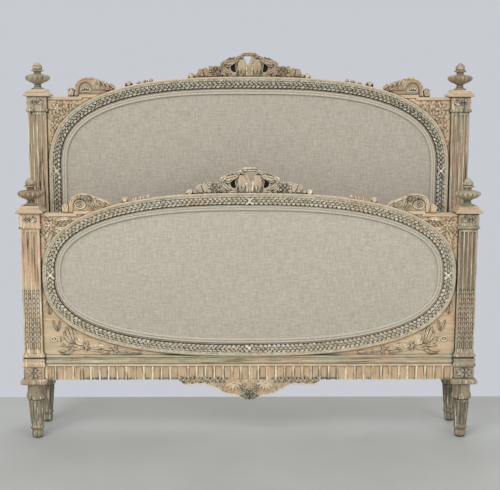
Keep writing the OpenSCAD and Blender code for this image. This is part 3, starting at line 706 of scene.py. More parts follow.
def sawn_plate(name: str, board: Board, outlines: Sequence[np.ndarray], back: float, front: float,
               edge: float = 2.0) -> Piece:
    """Saw a plate from a drawn outline and round its edges.

    Args:
        name: Name of the piece.
        board: The board that it belongs to.
        outlines: The outer line and the lines of its holes, in X and Z.
        back: Height forward of its back.
        front: Height forward of its front.
        edge: Radius of its rounded edges.

    Returns:
        The plate, in place.
    """
    curve = bpy.data.curves.new(name, "CURVE")
    curve.dimensions, curve.fill_mode = "2D", "BOTH"
    curve.extrude = ((front - back) / 2 - edge) * MM
    curve.bevel_depth, curve.bevel_resolution = edge * MM, 2
    curve.offset = -edge * MM
    for line in outlines:
        spline = curve.splines.new("POLY")
        spline.points.add(len(line) - 1)
        spline.points.foreach_set("co", np.column_stack(
            [line * MM, np.zeros(len(line)), np.ones(len(line))]).astype(np.float32).ravel())
        spline.use_cyclic_u = True
    piece = bpy.data.objects.new(name, curve)
    bpy.context.scene.collection.objects.link(piece)
    Bench.take(piece)
    bpy.ops.object.convert(target="MESH")
    piece = bpy.context.object
    piece.rotation_euler = (math.pi / 2, 0, 0)
    piece.location = (0, (board.depth - (front + back) / 2) * MM, 0)
    Bench.settle(piece)
    Bench.close(piece, merge=2e-5)
    Bench.smooth(piece, 40)
    return piece


def swept(name: str, board: Board, profile: Sequence[Pair], smooth: float = 35) -> Piece:
    """Run a moulding round the opening of a board.

    Args:
        name: Name of the piece.
        board: The board that it belongs to.
        profile: Its section, in distances outside the edge and heights forward.
        smooth: The angle under which its faces are shaded smooth.

    Returns:
        The moulding, in place, with a UV map in metres: along it, and round its section.
    """
    count = 420
    points, normals = board.outline.ring(0, count)
    section = np.asarray(profile, float)
    sides = len(section)
    rows = [np.column_stack([points + offset * normals, np.full(count, height)])
            for offset, height in section]
    piece = mesh_object(name, board.place(np.stack(rows, axis=1).reshape(-1, 3)),
                        ring_faces(range(count), sides))
    step = board.outline.length(float(section[:, 0].mean())) / count * MM
    steps = np.linalg.norm(section - np.roll(section, -1, axis=0), axis=1)
    girth = np.concatenate([[0], np.cumsum(steps)]) * MM
    corners = [(k * step, girth[j + over]) for i in range(count) for j in range(sides)
               for k, over in ((i, 0), (i, 1), (i + 1, 1), (i + 1, 0))]
    layer = piece.data.uv_layers.new(name="UVMap")
    layer.data.foreach_set("uv", np.array(corners, np.float32).ravel())
    Bench.close(piece)
    Bench.smooth(piece, smooth)
    return piece


# Finishes

Socket = bpy.types.NodeSocket
Value = Socket | float | Sequence[float]


class Nodes:
    """Adds and joins the nodes of one material or group."""

    def __init__(self, tree: bpy.types.NodeTree) -> None:
        """Work on this tree."""
        self.tree = tree

    def add(self, kind: str, inputs: dict | None = None, **settings) -> bpy.types.Node:
        """Add a node.

        Args:
            kind: Blender's name for the node.
            inputs: For each of its inputs, by name or number, a value or a socket to link.
            **settings: Its own settings.

        Returns:
            The node.
        """
        node = self.tree.nodes.new(kind)
        for key, value in settings.items():
            setattr(node, key, value)
        for key, value in (inputs or {}).items():
            self.feed(value, node.inputs[key])
        return node

    def feed(self, value: Value, socket: Socket) -> None:
        """Link a socket, or set it where a plain value is given.

        Args:
            value: The socket or the value.
            socket: The socket that it goes into.
        """
        if isinstance(value, Socket):
            self.tree.links.new(value, socket)
        else:
            socket.default_value = value

    def place(self) -> Socket:
        """Return the place in the frame."""
        return self.add("ShaderNodeTexCoord").outputs["Object"]

    def scaled(self, place: Socket, scale: Value) -> Socket:
        """Scale the three axes of a place, and return the result."""
        return self.add("ShaderNodeMapping", {"Vector": place, "Scale": scale}).outputs[0]

    def mix(self, share: Value, low: Value, high: Value, mode: str = "MIX") -> Socket:
        """Mix two colours by a share, and return the result."""
        node = self.add("ShaderNodeMix", {0: share, 6: low, 7: high}, data_type="RGBA", blend_type=mode)
        return node.outputs[2]

    def shade(self, colour: Socket, share: Socket) -> Socket:
        """Multiply a colour by a number, and return the result."""
        grey = self.add("ShaderNodeCombineColor", {0: share, 1: share, 2: share}).outputs[0]
        return self.mix(1.0, colour, grey, "MULTIPLY")

    def math(self, step: str, first: Value, second: Value = 0.0, clamp: bool = False) -> Socket:
        """Do one sum on two numbers, and return the result."""
        return self.add("ShaderNodeMath", {0: first, 1: second}, operation=step, use_clamp=clamp).outputs[0]

    def plus(self, first: Value, *others: Value) -> Socket:
        """Add numbers, and return the result.

        Args:
            first: The first number.
            *others: The numbers to add to it.

        Returns:
            The sum.
        """
        for other in others:
            first = self.math("ADD", first, other)
        return first

    def less(self, first: Value, second: Value, clamp: bool = False) -> Socket:
        """Take one number from another, and return the result."""
        return self.math("SUBTRACT", first, second, clamp)

    def times(self, first: Value, second: Value, clamp: bool = False) -> Socket:
        """Multiply two numbers, and return the result."""
        return self.math("MULTIPLY", first, second, clamp)

    def most(self, first: Value, second: Value) -> Socket:
        """Return the greater of two numbers."""
        return self.math("MAXIMUM", first, second)

    def swing(self, noise: Socket, reach: float) -> Socket:
        """Return a noise of 0 to 1 as a number that swings about zero."""
        return self.times(self.less(noise, 0.5), reach)

    def ramp(self, value: Value, low: float, high: float, start: float = 0.0, end: float = 1.0) -> Socket:
        """Ease a number from start to end as it goes from low to high, and return the result."""
        return self.add("ShaderNodeMapRange", {0: value, 1: low, 2: high, 3: start, 4: end},
                        interpolation_type="SMOOTHSTEP").outputs[0]

    def within(self, value: Value, low: float, high: float, soft: float) -> Socket:
        """Return one where a number lies between two others, easing to zero outside them."""
        return self.less(self.ramp(value, low - soft, low + soft),
                         self.ramp(value, high - soft, high + soft), True)

    def noise(self, place: Socket, scale: float, detail: float, rough: float = 0.6) -> Socket:
        """Return an even noise over places."""
        return self.add("ShaderNodeTexNoise", {"Vector": place, "Scale": scale, "Detail": detail,
                                               "Roughness": rough}).outputs["Fac"]


NUMBER, COLOUR, VECTOR = "NodeSocketFloat", "NodeSocketColor", "NodeSocketVector"


def new_group(name: str, inputs: dict[str, str]) -> tuple:
    """Start a group of nodes that puts out a colour, a roughness and a height.

    Args:
        name: Name of the group.
        inputs: Name and type of each input.

    Returns:
        The group, its nodes, the sockets of its inputs, and those of its outputs.
    """
    tree = bpy.data.node_groups.new(name, "ShaderNodeTree")
    for title, kind in inputs.items():
        tree.interface.new_socket(title, in_out="INPUT", socket_type=kind)
    for title, kind in (("Color", COLOUR), ("Roughness", NUMBER), ("Height", NUMBER)):
        tree.interface.new_socket(title, in_out="OUTPUT", socket_type=kind)
    nodes = Nodes(tree)
    return tree, nodes, nodes.add("NodeGroupInput").outputs, nodes.add("NodeGroupOutput").inputs


def worn_paint() -> bpy.types.NodeTree:
    """Build the worn paint: a body colour in patches, green remains in the hollows, dirt with painted shade
    in the deepest of them, chalky ground on the edges and high places, and streaks along the grain.

    Returns:
        The group.
    """
    tree, nodes, take, out = new_group("worn_paint", {
        **dict.fromkeys(("Body", "Pale", "Green", "Dirt And Shade", "Chalk"), COLOUR),
        **dict.fromkeys(("Green Amount", "Chalk Amount", "Dirt Amount", "Streak", "Rise", "Seam", "Reach",
                         "Gain"), NUMBER), "Grain": VECTOR})
    place = nodes.place()
    grain = nodes.scaled(place, take["Grain"])
    patches = nodes.noise(place, 6.0, 4.0)
    blotches = nodes.noise(grain, 34.0, 5.0, 0.62)
    flakes = nodes.noise(grain, 120.0, 4.0)
    streaks = nodes.noise(nodes.scaled(grain, take["Grain"]), 150.0, 3.0, 0.55)
    # Ambient occlusion finds the hollows: the green remains go there, and dirt with painted shade goes in the
    # deepest.
    open_sky = nodes.add("ShaderNodeAmbientOcclusion", {"Distance": take["Reach"]}, samples=8).outputs["AO"]
    hollow = nodes.less(1.0, open_sky, True)
    thin = nodes.add("ShaderNodeAmbientOcclusion", {"Distance": 0.003}, samples=6, inside=True).outputs["AO"]
    edge = nodes.less(1.0, thin, True)

    body = nodes.mix(nodes.ramp(patches, 0.38, 0.62), take["Body"], take["Pale"])
    darker = nodes.mix(1.0, body, (0.56, 0.53, 0.48, 1.0), "MULTIPLY")
    body = nodes.mix(nodes.ramp(blotches, 0.35, 0.72, 0.0, 0.42), body, darker)

    # Green remains: in the hollows, and in loose patches on the faces.
    greens = nodes.plus(nodes.times(hollow, 1.3), nodes.swing(blotches, 2.2), nodes.swing(patches, 1.6),
                        nodes.less(take["Green Amount"], 1.0))
    colour = nodes.mix(nodes.times(nodes.ramp(greens, 0.0, 0.35), 0.9), body, take["Green"])

    # Streaks along the grain: some pale, some dark.
    dark = nodes.times(nodes.ramp(streaks, 0.43, 0.35), take["Streak"], True)
    colour = nodes.mix(dark, colour, take["Dirt And Shade"])
    worn = nodes.times(nodes.ramp(streaks, 0.57, 0.66), take["Streak"], True)
    high = nodes.most(nodes.ramp(edge, 0.10, 0.45), nodes.ramp(take["Rise"], 0.60, 0.92))
    chalk = nodes.times(nodes.times(high, nodes.ramp(flakes, 0.42, 0.58)), take["Chalk Amount"], True)
    chalk = nodes.most(worn, chalk)
    colour = nodes.mix(chalk, colour, take["Chalk"])

    # Dirt with painted shade: darker in the deepest hollows, and along the open joint and the flutes.
    deep = nodes.plus(nodes.times(hollow, take["Gain"]), nodes.swing(flakes, 0.4))
    dirt = nodes.times(nodes.ramp(deep, 0.30, 0.72), take["Dirt Amount"], True)
    dirt = nodes.most(dirt, nodes.times(take["Seam"], nodes.ramp(blotches, 0.44, 0.56)))
    colour = nodes.mix(dirt, colour, take["Dirt And Shade"])
    specks = nodes.noise(place, 520.0, 2.0, 0.5)
    nodes.feed(nodes.shade(colour, nodes.ramp(specks, 0.36, 0.66, 0.84, 1.10)), out["Color"])
    nodes.feed(nodes.plus(nodes.times(flakes, 0.16), nodes.ramp(chalk, 0, 1, 0.60, 0.74)), out["Roughness"])
    height = nodes.plus(nodes.times(flakes, 0.7), nodes.times(blotches, 0.6))
    nodes.feed(nodes.less(height, nodes.times(chalk, 0.35)), out["Height"])
    return tree


def plain_weave() -> bpy.types.NodeTree:
    """Build the plain weave: threads both ways, with thick slubs, from a place along and a place across.

    Returns:
        The group.
    """
    tree, nodes, take, out = new_group("plain_weave", {
        "Place": VECTOR, "Threads": NUMBER, "Cloth": COLOUR, "Thread": COLOUR, "Slub": NUMBER})
    split = nodes.add("ShaderNodeSeparateXYZ", {0: take["Place"]}).outputs
    waves = [nodes.math("ABSOLUTE", nodes.math("SINE", nodes.times(nodes.times(line, take["Threads"]),
                                                                   math.pi)))
             for line in split[:2]]
    height = nodes.times(nodes.plus(*waves), 0.5)
    slubs = [nodes.noise(nodes.scaled(take["Place"], stretch), 1.0, 2.0)
             for stretch in ((22.0, 230.0, 1.0), (260.0, 18.0, 1.0), (60.0, 420.0, 1.0), (460.0, 44.0, 1.0))]
    total = nodes.plus(nodes.plus(*slubs[:2]), nodes.plus(*slubs[2:]))
    tint = nodes.ramp(total, 1.70, 2.30)
    colour = nodes.mix(nodes.times(tint, take["Slub"]), take["Cloth"], take["Thread"])
    # Darker between the threads and lighter on their crests: painted shade and highlight of the weave.
    nodes.feed(nodes.shade(colour, nodes.ramp(height, 0.1, 0.9, 0.90, 1.06)), out["Color"])
    nodes.feed(nodes.ramp(tint, 0, 1, 0.86, 0.78), out["Roughness"])
    nodes.feed(nodes.plus(height, nodes.times(total, 0.8)), out["Height"])
    return tree


def group(maker: Callable[[], bpy.types.NodeTree]) -> bpy.types.NodeTree:
    """Return the group of nodes that bears its maker's name, and build it the first time."""
    return bpy.data.node_groups.get(maker.__name__) or maker()


def new_material(name: str) -> tuple[bpy.types.Material, Nodes, bpy.types.Node]:
    """Start a material with its shader joined up, and return it with its nodes and its shader.

    Args:
        name: Name of the material.

    Returns:
        The material, its nodes and its shader.
    """
    material = bpy.data.materials.new(name)
    material.use_nodes = True
    material.node_tree.nodes.clear()
    nodes = Nodes(material.node_tree)
    shader = nodes.add("ShaderNodeBsdfPrincipled")
    nodes.add("ShaderNodeOutputMaterial", {0: shader.outputs[0]})
    return material, nodes, shader


def feed_shader(nodes: Nodes, shader: bpy.types.Node, source: bpy.types.Node, bump: float,
                strength: float) -> None:
    """Feed a shader from a group's colour, roughness and height.

    Args:
        nodes: The nodes of the material.
        shader: The shader.
        source: The group.
        bump: How high its height stands, in metres.
        strength: How strongly the height shows.
    """
    nodes.feed(source.outputs["Color"], shader.inputs["Base Color"])
    nodes.feed(source.outputs["Roughness"], shader.inputs["Roughness"])
    raised = nodes.add("ShaderNodeBump", {"Strength": strength, "Distance": bump,
                                          "Height": source.outputs["Height"]})
    nodes.feed(raised.outputs[0], shader.inputs["Normal"])


# The grain of a piece that stands upright, and of one that lies along the width.
UPRIGHT, LEVEL = (1.0, 1.0, 0.22), (0.22, 1.0, 1.0)
TIMBER = "painted_wood"


@dataclass(frozen=True)
class WornPaint:
    """Old paint on wood, worn back through its coats. Heights and depths are in metres in the frame.

    The amounts are those of green remains, of chalky ground, and of dirt with painted shade in the hollows.
    Each row of greens is a stretch of height with the green that it has on top.
    """

    name: str
    body: RGB
    pale: RGB
    green: RGB
    dirt: RGB
    chalk: RGB
    amounts: Triple
    reach: float = 0.006
    # How strongly the hollows take dirt with painted shade.
    gain: float = 1.0
    streak: float = 0.0
    leg_streak: float = 0.0
    # The legs and right-hand posts turn to a darker, greyer tone: older paint, with painted shade.
    leg_age: float = 0.0
    right_age: float = 0.0
    grain: Triple = (1.0, 1.0, 1.0)
    greens: tuple[Triple, ...] = ()
    proud_y: float = 0.0
    # The top of the dark line of dirt and painted shade along the joint of post and frame.
    seam_to: float = 0.0
    slot: str = "painted_carving"

    SEAM_X = 0.7548
    BLOCK_Z = 0.236
    LEG = (0.046, 0.160)
    RUSTY = (0.037, 0.041)
    AGED_TONE = (138, 132, 111)
    RUST_TONE = (142, 94, 66)
    BUMP = 0.0012

    def make(self) -> bpy.types.Material:
        """Build the material.

        Returns:
            The material.
        """
        material, nodes, shader = new_material(self.name)
        green, chalk, dirt = self.amounts
        coat = nodes.add("ShaderNodeGroup", node_tree=group(worn_paint))
        ways = coat.inputs
        for title, colour in (("Body", self.body), ("Pale", self.pale), ("Green", self.green),
                              ("Dirt And Shade", self.dirt), ("Chalk", self.chalk)):
            nodes.feed(tone(*colour), ways[title])
        for title, value in (("Chalk Amount", chalk), ("Dirt Amount", dirt), ("Streak", self.streak),
                             ("Grain", self.grain), ("Reach", self.reach), ("Gain", self.gain)):
            nodes.feed(value, ways[title])
        along, deep, up = nodes.add("ShaderNodeSeparateXYZ", {0: nodes.place()}).outputs
        if self.proud_y:
            nodes.feed(nodes.ramp(deep, self.proud_y + 0.0012, self.proud_y + 0.0002), ways["Rise"])
            # A dark line of dirt and painted shade in the flutes, just behind their front.
            nodes.feed(nodes.within(deep, self.proud_y + 0.0008, self.proud_y + 0.0030, 0.0004), ways["Seam"])
        else:
            nodes.feed(nodes.add("ShaderNodeAttribute", attribute_name="rise").outputs["Fac"], ways["Rise"])
        if self.seam_to:
            # A dark line of dirt and painted shade along the open joint between the posts and the frame.
            off = nodes.math("ABSOLUTE", nodes.less(nodes.math("ABSOLUTE", along), self.SEAM_X))
            nodes.feed(nodes.times(nodes.ramp(off, 0.0018, 0.0008),
                                   nodes.within(up, self.BLOCK_Z, self.seam_to, 0.0005)), ways["Seam"])
        for low, high, share in self.greens:
            green = nodes.plus(nodes.times(nodes.within(up, low, high, 0.0025), share), green)
        # The legs, and the posts on the right, are painted darker and greyer: older paint, with painted shade
        # where less light falls on them.
        if self.leg_streak:
            right = nodes.times(nodes.ramp(along, 0.70, 0.73), self.right_age)
            green = nodes.plus(nodes.times(right, 0.35), green)
            nodes.feed(nodes.plus(nodes.times(right, 2.2), self.gain), ways["Gain"])
            leg = nodes.plus(nodes.times(nodes.within(up, *self.LEG, 0.002), self.leg_streak), self.streak)
            nodes.feed(nodes.less(leg, nodes.times(right, 0.5)), ways["Streak"])
            aged_and_shaded = nodes.most(nodes.times(nodes.ramp(up, 0.300, 0.165), self.leg_age), right)
            rusty = nodes.times(nodes.within(up, *self.RUSTY, 0.001), 0.8)
            for title, colour in (("Body", self.body), ("Pale", self.pale)):
                worn_and_shaded_body = nodes.mix(aged_and_shaded, tone(*colour), tone(*self.AGED_TONE))
                nodes.feed(nodes.mix(rusty, worn_and_shaded_body, tone(*self.RUST_TONE)), ways[title])
        nodes.feed(green, ways["Green Amount"])
        feed_shader(nodes, shader, coat, self.BUMP, 0.8)
        return material


@dataclass(frozen=True)
class Cloth:
    """A woven cloth. Its weave follows the height and width of the piece, or the piece's own UV map."""

    name: str
    cloth: RGB
    thread: RGB
    slot: str
    threads: float = 1100.0
    slub: float = 0.55
    bump: float = 0.0004
    by_uv: bool = False

    def make(self) -> bpy.types.Material:
        """Build the material.

        Returns:
            The material.
        """
        material, nodes, shader = new_material(self.name)
        if self.by_uv:
            place = nodes.add("ShaderNodeTexCoord").outputs["UV"]
        else:
            split = nodes.add("ShaderNodeSeparateXYZ", {0: nodes.place()}).outputs
            place = nodes.add("ShaderNodeCombineXYZ", {0: split[0], 1: split[2]}).outputs[0]
        weave = nodes.add("ShaderNodeGroup", node_tree=group(plain_weave))
        for title, value in (("Place", place), ("Threads", self.threads), ("Cloth", tone(*self.cloth)),
                             ("Thread", tone(*self.thread)), ("Slub", self.slub)):
            nodes.feed(value, weave.inputs[title])
        nodes.feed(0.15, shader.inputs["Sheen Weight"])
        nodes.feed(0.6, shader.inputs["Sheen Roughness"])
        feed_shader(nodes, shader, weave, self.bump, 0.6)
        return material


@dataclass(frozen=True)
class BareWood:
    """Unpainted wood, with its grain along the width."""

    name: str
    light: RGB
    dark: RGB
    slot: str

    def make(self) -> bpy.types.Material:
        """Build the material.

        Returns:
            The material.
        """
        material, nodes, shader = new_material(self.name)
        run = nodes.scaled(nodes.place(), (2.0, 60.0, 60.0))
        lines = nodes.noise(run, 2.0, 6.0, 0.62)
        pores = nodes.noise(run, 14.0, 3.0, 0.5)
        colour = nodes.mix(nodes.ramp(lines, 0.34, 0.66), tone(*self.light), tone(*self.dark))
        colour = nodes.mix(nodes.ramp(pores, 0.56, 0.70, 0.0, 0.45), colour, tone(*self.dark))
        bump = nodes.add("ShaderNodeBump", {"Strength": 0.5, "Distance": 0.0006, "Height": lines})
        for value, title in ((colour, "Base Color"), (nodes.ramp(pores, 0.3, 0.7, 0.62, 0.78), "Roughness"),
                             (bump.outputs[0], "Normal")):
            nodes.feed(value, shader.inputs[title])
        return material


@dataclass(frozen=True)
class BluedIron:
    """Dark iron with rust in spots."""

    name: str
    iron: RGB
    rust: RGB
    slot: str

    def make(self) -> bpy.types.Material:
        """Build the material.

        Returns:
            The material.
        """
        material, nodes, shader = new_material(self.name)
        spots = nodes.ramp(nodes.noise(nodes.place(), 240.0, 4.0), 0.46, 0.62)
        nodes.feed(nodes.mix(spots, tone(*self.iron), tone(*self.rust)), shader.inputs["Base Color"])
        nodes.feed(nodes.ramp(spots, 0, 1, 0.9, 0.1), shader.inputs["Metallic"])
        nodes.feed(nodes.ramp(spots, 0, 1, 0.38, 0.8), shader.inputs["Roughness"])
        return material


class Finish(Enum):
    """Every finish of the bedstead."""

    HEAD_POST = WornPaint(
        "head_post_paint", (188, 160, 130), (180, 162, 136), (120, 128, 108), (46, 46, 34), (236, 226, 200),
        (0.22, 0.8, 0.9), 0.009, 1.5, streak=1.0, leg_streak=0.6, leg_age=0.95, right_age=0.2, grain=UPRIGHT,
        greens=((1.196, 1.212, 0.8),), slot=TIMBER)
    FOOT_POST = WornPaint(
        "foot_post_paint", (222, 180, 148), (210, 186, 152), (126, 146, 120), (58, 60, 46), (242, 232, 208),
        (0.24, 0.8, 0.9), 0.009, 1.5, streak=0.85, leg_streak=0.8, leg_age=0.88, right_age=0.60,
        grain=UPRIGHT, greens=((0.3065, 0.3125, 1.0), (0.785, 0.797, 0.85)), slot=TIMBER)
    FRAME = WornPaint(
        "frame_paint", (218, 186, 150), (212, 190, 156), (126, 142, 122), (78, 62, 46), (238, 228, 206),
        (0.20, 0.5, 0.9), 0.008, 2.0, streak=0.25, grain=LEVEL, seam_to=1.252, slot=TIMBER)
    JOINT = WornPaint(
        "joint_paint", (110, 116, 94), (176, 140, 110), (86, 118, 94), (26, 26, 20), (190, 180, 156),
        (0.55, 0.3, 0.8), 0.003, streak=0.6, grain=UPRIGHT, slot=TIMBER)
    CAP = WornPaint(
        "cap_paint", (204, 175, 142), (200, 180, 150), (126, 140, 118), (58, 52, 40), (240, 232, 212),
        (0.22, 0.8, 0.95), 0.010, 1.5, streak=0.4, grain=LEVEL, slot=TIMBER)
    FLUTED = WornPaint(
        "fluted_rail_paint", (208, 180, 144), (204, 180, 148), (76, 94, 92), (92, 80, 58), (246, 236, 210),
        (0.24, 0.9, 0.9), 0.008, 1.4, streak=0.4, grain=UPRIGHT, greens=((0.218, 0.234, 0.9),),
        proud_y=-0.119, slot=TIMBER)
    MOULDING = WornPaint(
        "moulding_paint", (196, 172, 140), (190, 180, 150), (128, 156, 134), (50, 56, 44), (230, 226, 204),
        (0.36, 0.6, 1.0), 0.012, 1.7, streak=0.7, grain=LEVEL, greens=((0.301, 0.330, 0.45),), slot=TIMBER)
    COVE = WornPaint(
        "cove_paint", (158, 152, 130), (176, 170, 146), (96, 116, 110), (46, 48, 40), (232, 224, 202),
        (0.78, 0.5, 1.0), gain=1.6, slot=TIMBER)
    LIP = WornPaint(
        "lip_paint", (202, 178, 148), (194, 182, 154), (128, 144, 124), (84, 70, 54), (236, 228, 206),
        (0.46, 0.8, 0.9), gain=1.6, slot=TIMBER)
    # The sight moulding: dark green paint, darkened further as painted shade of the deep groove beside the
    # welt.
    SIGHT = WornPaint(
        "sight_paint", (34, 46, 42), (50, 58, 50), (34, 60, 54), (14, 16, 12), (160, 156, 136),
        (0.60, 0.1, 1.0), 0.005, 1.3, slot=TIMBER)
    CARVING = WornPaint(
        "carved_paint", (200, 178, 146), (206, 192, 164), (112, 126, 108), (42, 42, 30), (250, 244, 228),
        (0.40, 1.0, 1.0), 0.010, 1.25)
    CREAM = WornPaint(
        "cream_paint", (220, 208, 182), (204, 196, 170), (116, 134, 120), (54, 56, 44), (242, 236, 214),
        (0.46, 0.8, 1.0), gain=1.2)
    HUSK = WornPaint(
        "husk_paint", (180, 155, 126), (177, 162, 135), (116, 126, 108), (80, 66, 50), (226, 214, 190),
        (0.42, 0.45, 0.8), gain=1.15)
    SPRAY = WornPaint(
        "spray_paint", (208, 178, 144), (206, 188, 156), (122, 134, 112), (96, 80, 56), (244, 234, 210),
        (0.28, 0.5, 0.9), 0.0045, 1.3)
    CORNER = WornPaint(
        "corner_paint", (218, 190, 154), (224, 206, 174), (130, 138, 114), (128, 108, 78), (248, 240, 216),
        (0.14, 0.9, 0.9), 0.0045, 1.05)
    FINIAL = WornPaint(
        "finial_paint", (158, 136, 109), (172, 162, 134), (126, 136, 112), (48, 42, 32), (228, 218, 194),
        (0.50, 0.6, 0.9), 0.009, 1.5, streak=0.45, grain=(1.0, 1.0, 0.5),
        greens=((0.869, 0.886, 0.5), (1.284, 1.301, 0.5)))
    BAND = WornPaint(
        "band_paint", (214, 192, 152), (222, 202, 166), (108, 122, 102), (38, 40, 30), (254, 250, 236),
        (0.38, 1.0, 1.0), gain=0.95)
    HEAD_BAND = WornPaint(
        "head_band_paint", (196, 180, 148), (206, 192, 160), (100, 116, 100), (32, 36, 28), (254, 250, 236),
        (0.38, 1.0, 1.0), gain=1.08)
    BROWN = WornPaint(
        "brown_paint", (172, 148, 118), (184, 166, 138), (116, 122, 102), (48, 36, 26), (230, 216, 190),
        (0.24, 0.7, 1.0), 0.011, 1.3)
    CREST = WornPaint(
        "crest_paint", (188, 164, 134), (196, 180, 154), (116, 128, 106), (44, 38, 26), (246, 238, 216),
        (0.34, 1.0, 1.0), 0.012, 1.35)
    # Near black: painted shade at the bottom of the crest's two round hollows.
    HOLLOW_SHADE = WornPaint(
        "hollow_paint", (14, 8, 5), (18, 11, 8), (12, 12, 9), (6, 4, 3), (30, 22, 16), (0.0, 0.1, 1.0))
    LINEN = Cloth("linen_cover", (196, 189, 172), (149, 142, 125), "linen")
    HEAD_LINEN = Cloth("head_linen_cover", (187, 180, 165), (141, 134, 119), "linen")
    WELT = Cloth("linen_welt", (200, 192, 175), (176, 168, 150), "welt_cord", slub=0.6, bump=0.0003,
                 by_uv=True)
    CALICO = Cloth("back_calico", (190, 180, 158), (164, 152, 130), "back_cloth", threads=1500.0, slub=0.35)
    BOARD = BareWood("bare_board", (186, 156, 116), (146, 112, 76), "backing_board")
    IRON = BluedIron("blued_iron", (52, 50, 48), (96, 66, 46), "tack_iron")

    def dress(self, piece: Piece) -> None:
        """Give a piece this finish all over.

        Args:
            piece: The piece.
        """
        material = bpy.data.materials.get(self.value.name) or self.value.make()
        if not piece.data.materials:
            piece.data.materials.append(material)
        for index in range(len(piece.data.materials)):
            piece.data.materials[index] = material


def fit(piece: Piece, board: Board, finish: Finish, *nodes: str) -> None:
    """Finish a piece, let it ride on its board, and let it stand for the nodes that it replaces.

    Args:
        piece: The piece, in place.
        board: The board that it belongs to.
        finish: Its finish.
        *nodes: The nodes that it stands for, without the board's name.
    """
    finish.dress(piece)
    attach(piece, board.body)
    if nodes:
        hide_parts(*(f"{board.name}_{node}" for node in nodes))
    LOG.info("%s: %d faces", piece.name, len(piece.data.polygons))


def soften(node: str, finish: Finish, radius: float = 0.0) -> None:
    """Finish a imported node, and round its edges with live modifiers that leave its own mesh alone.

    Args:
        node: The node.
        finish: Its finish.
        radius: The radius of its edges, or nothing to leave them sharp.
    """
    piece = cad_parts[node]
    finish.dress(piece)
    if radius:
        piece.modifiers.new("Weld", "WELD").merge_threshold = 1e-5
        bevel = piece.modifiers.new("Bevel", "BEVEL")
        bevel.width, bevel.segments = radius * MM, 2
        bevel.limit_method, bevel.angle_limit = "ANGLE", math.radians(38)
        bevel.harden_normals = False


# Sub-assemblies

SIDES = ((-1, "left"), (1, "right"))


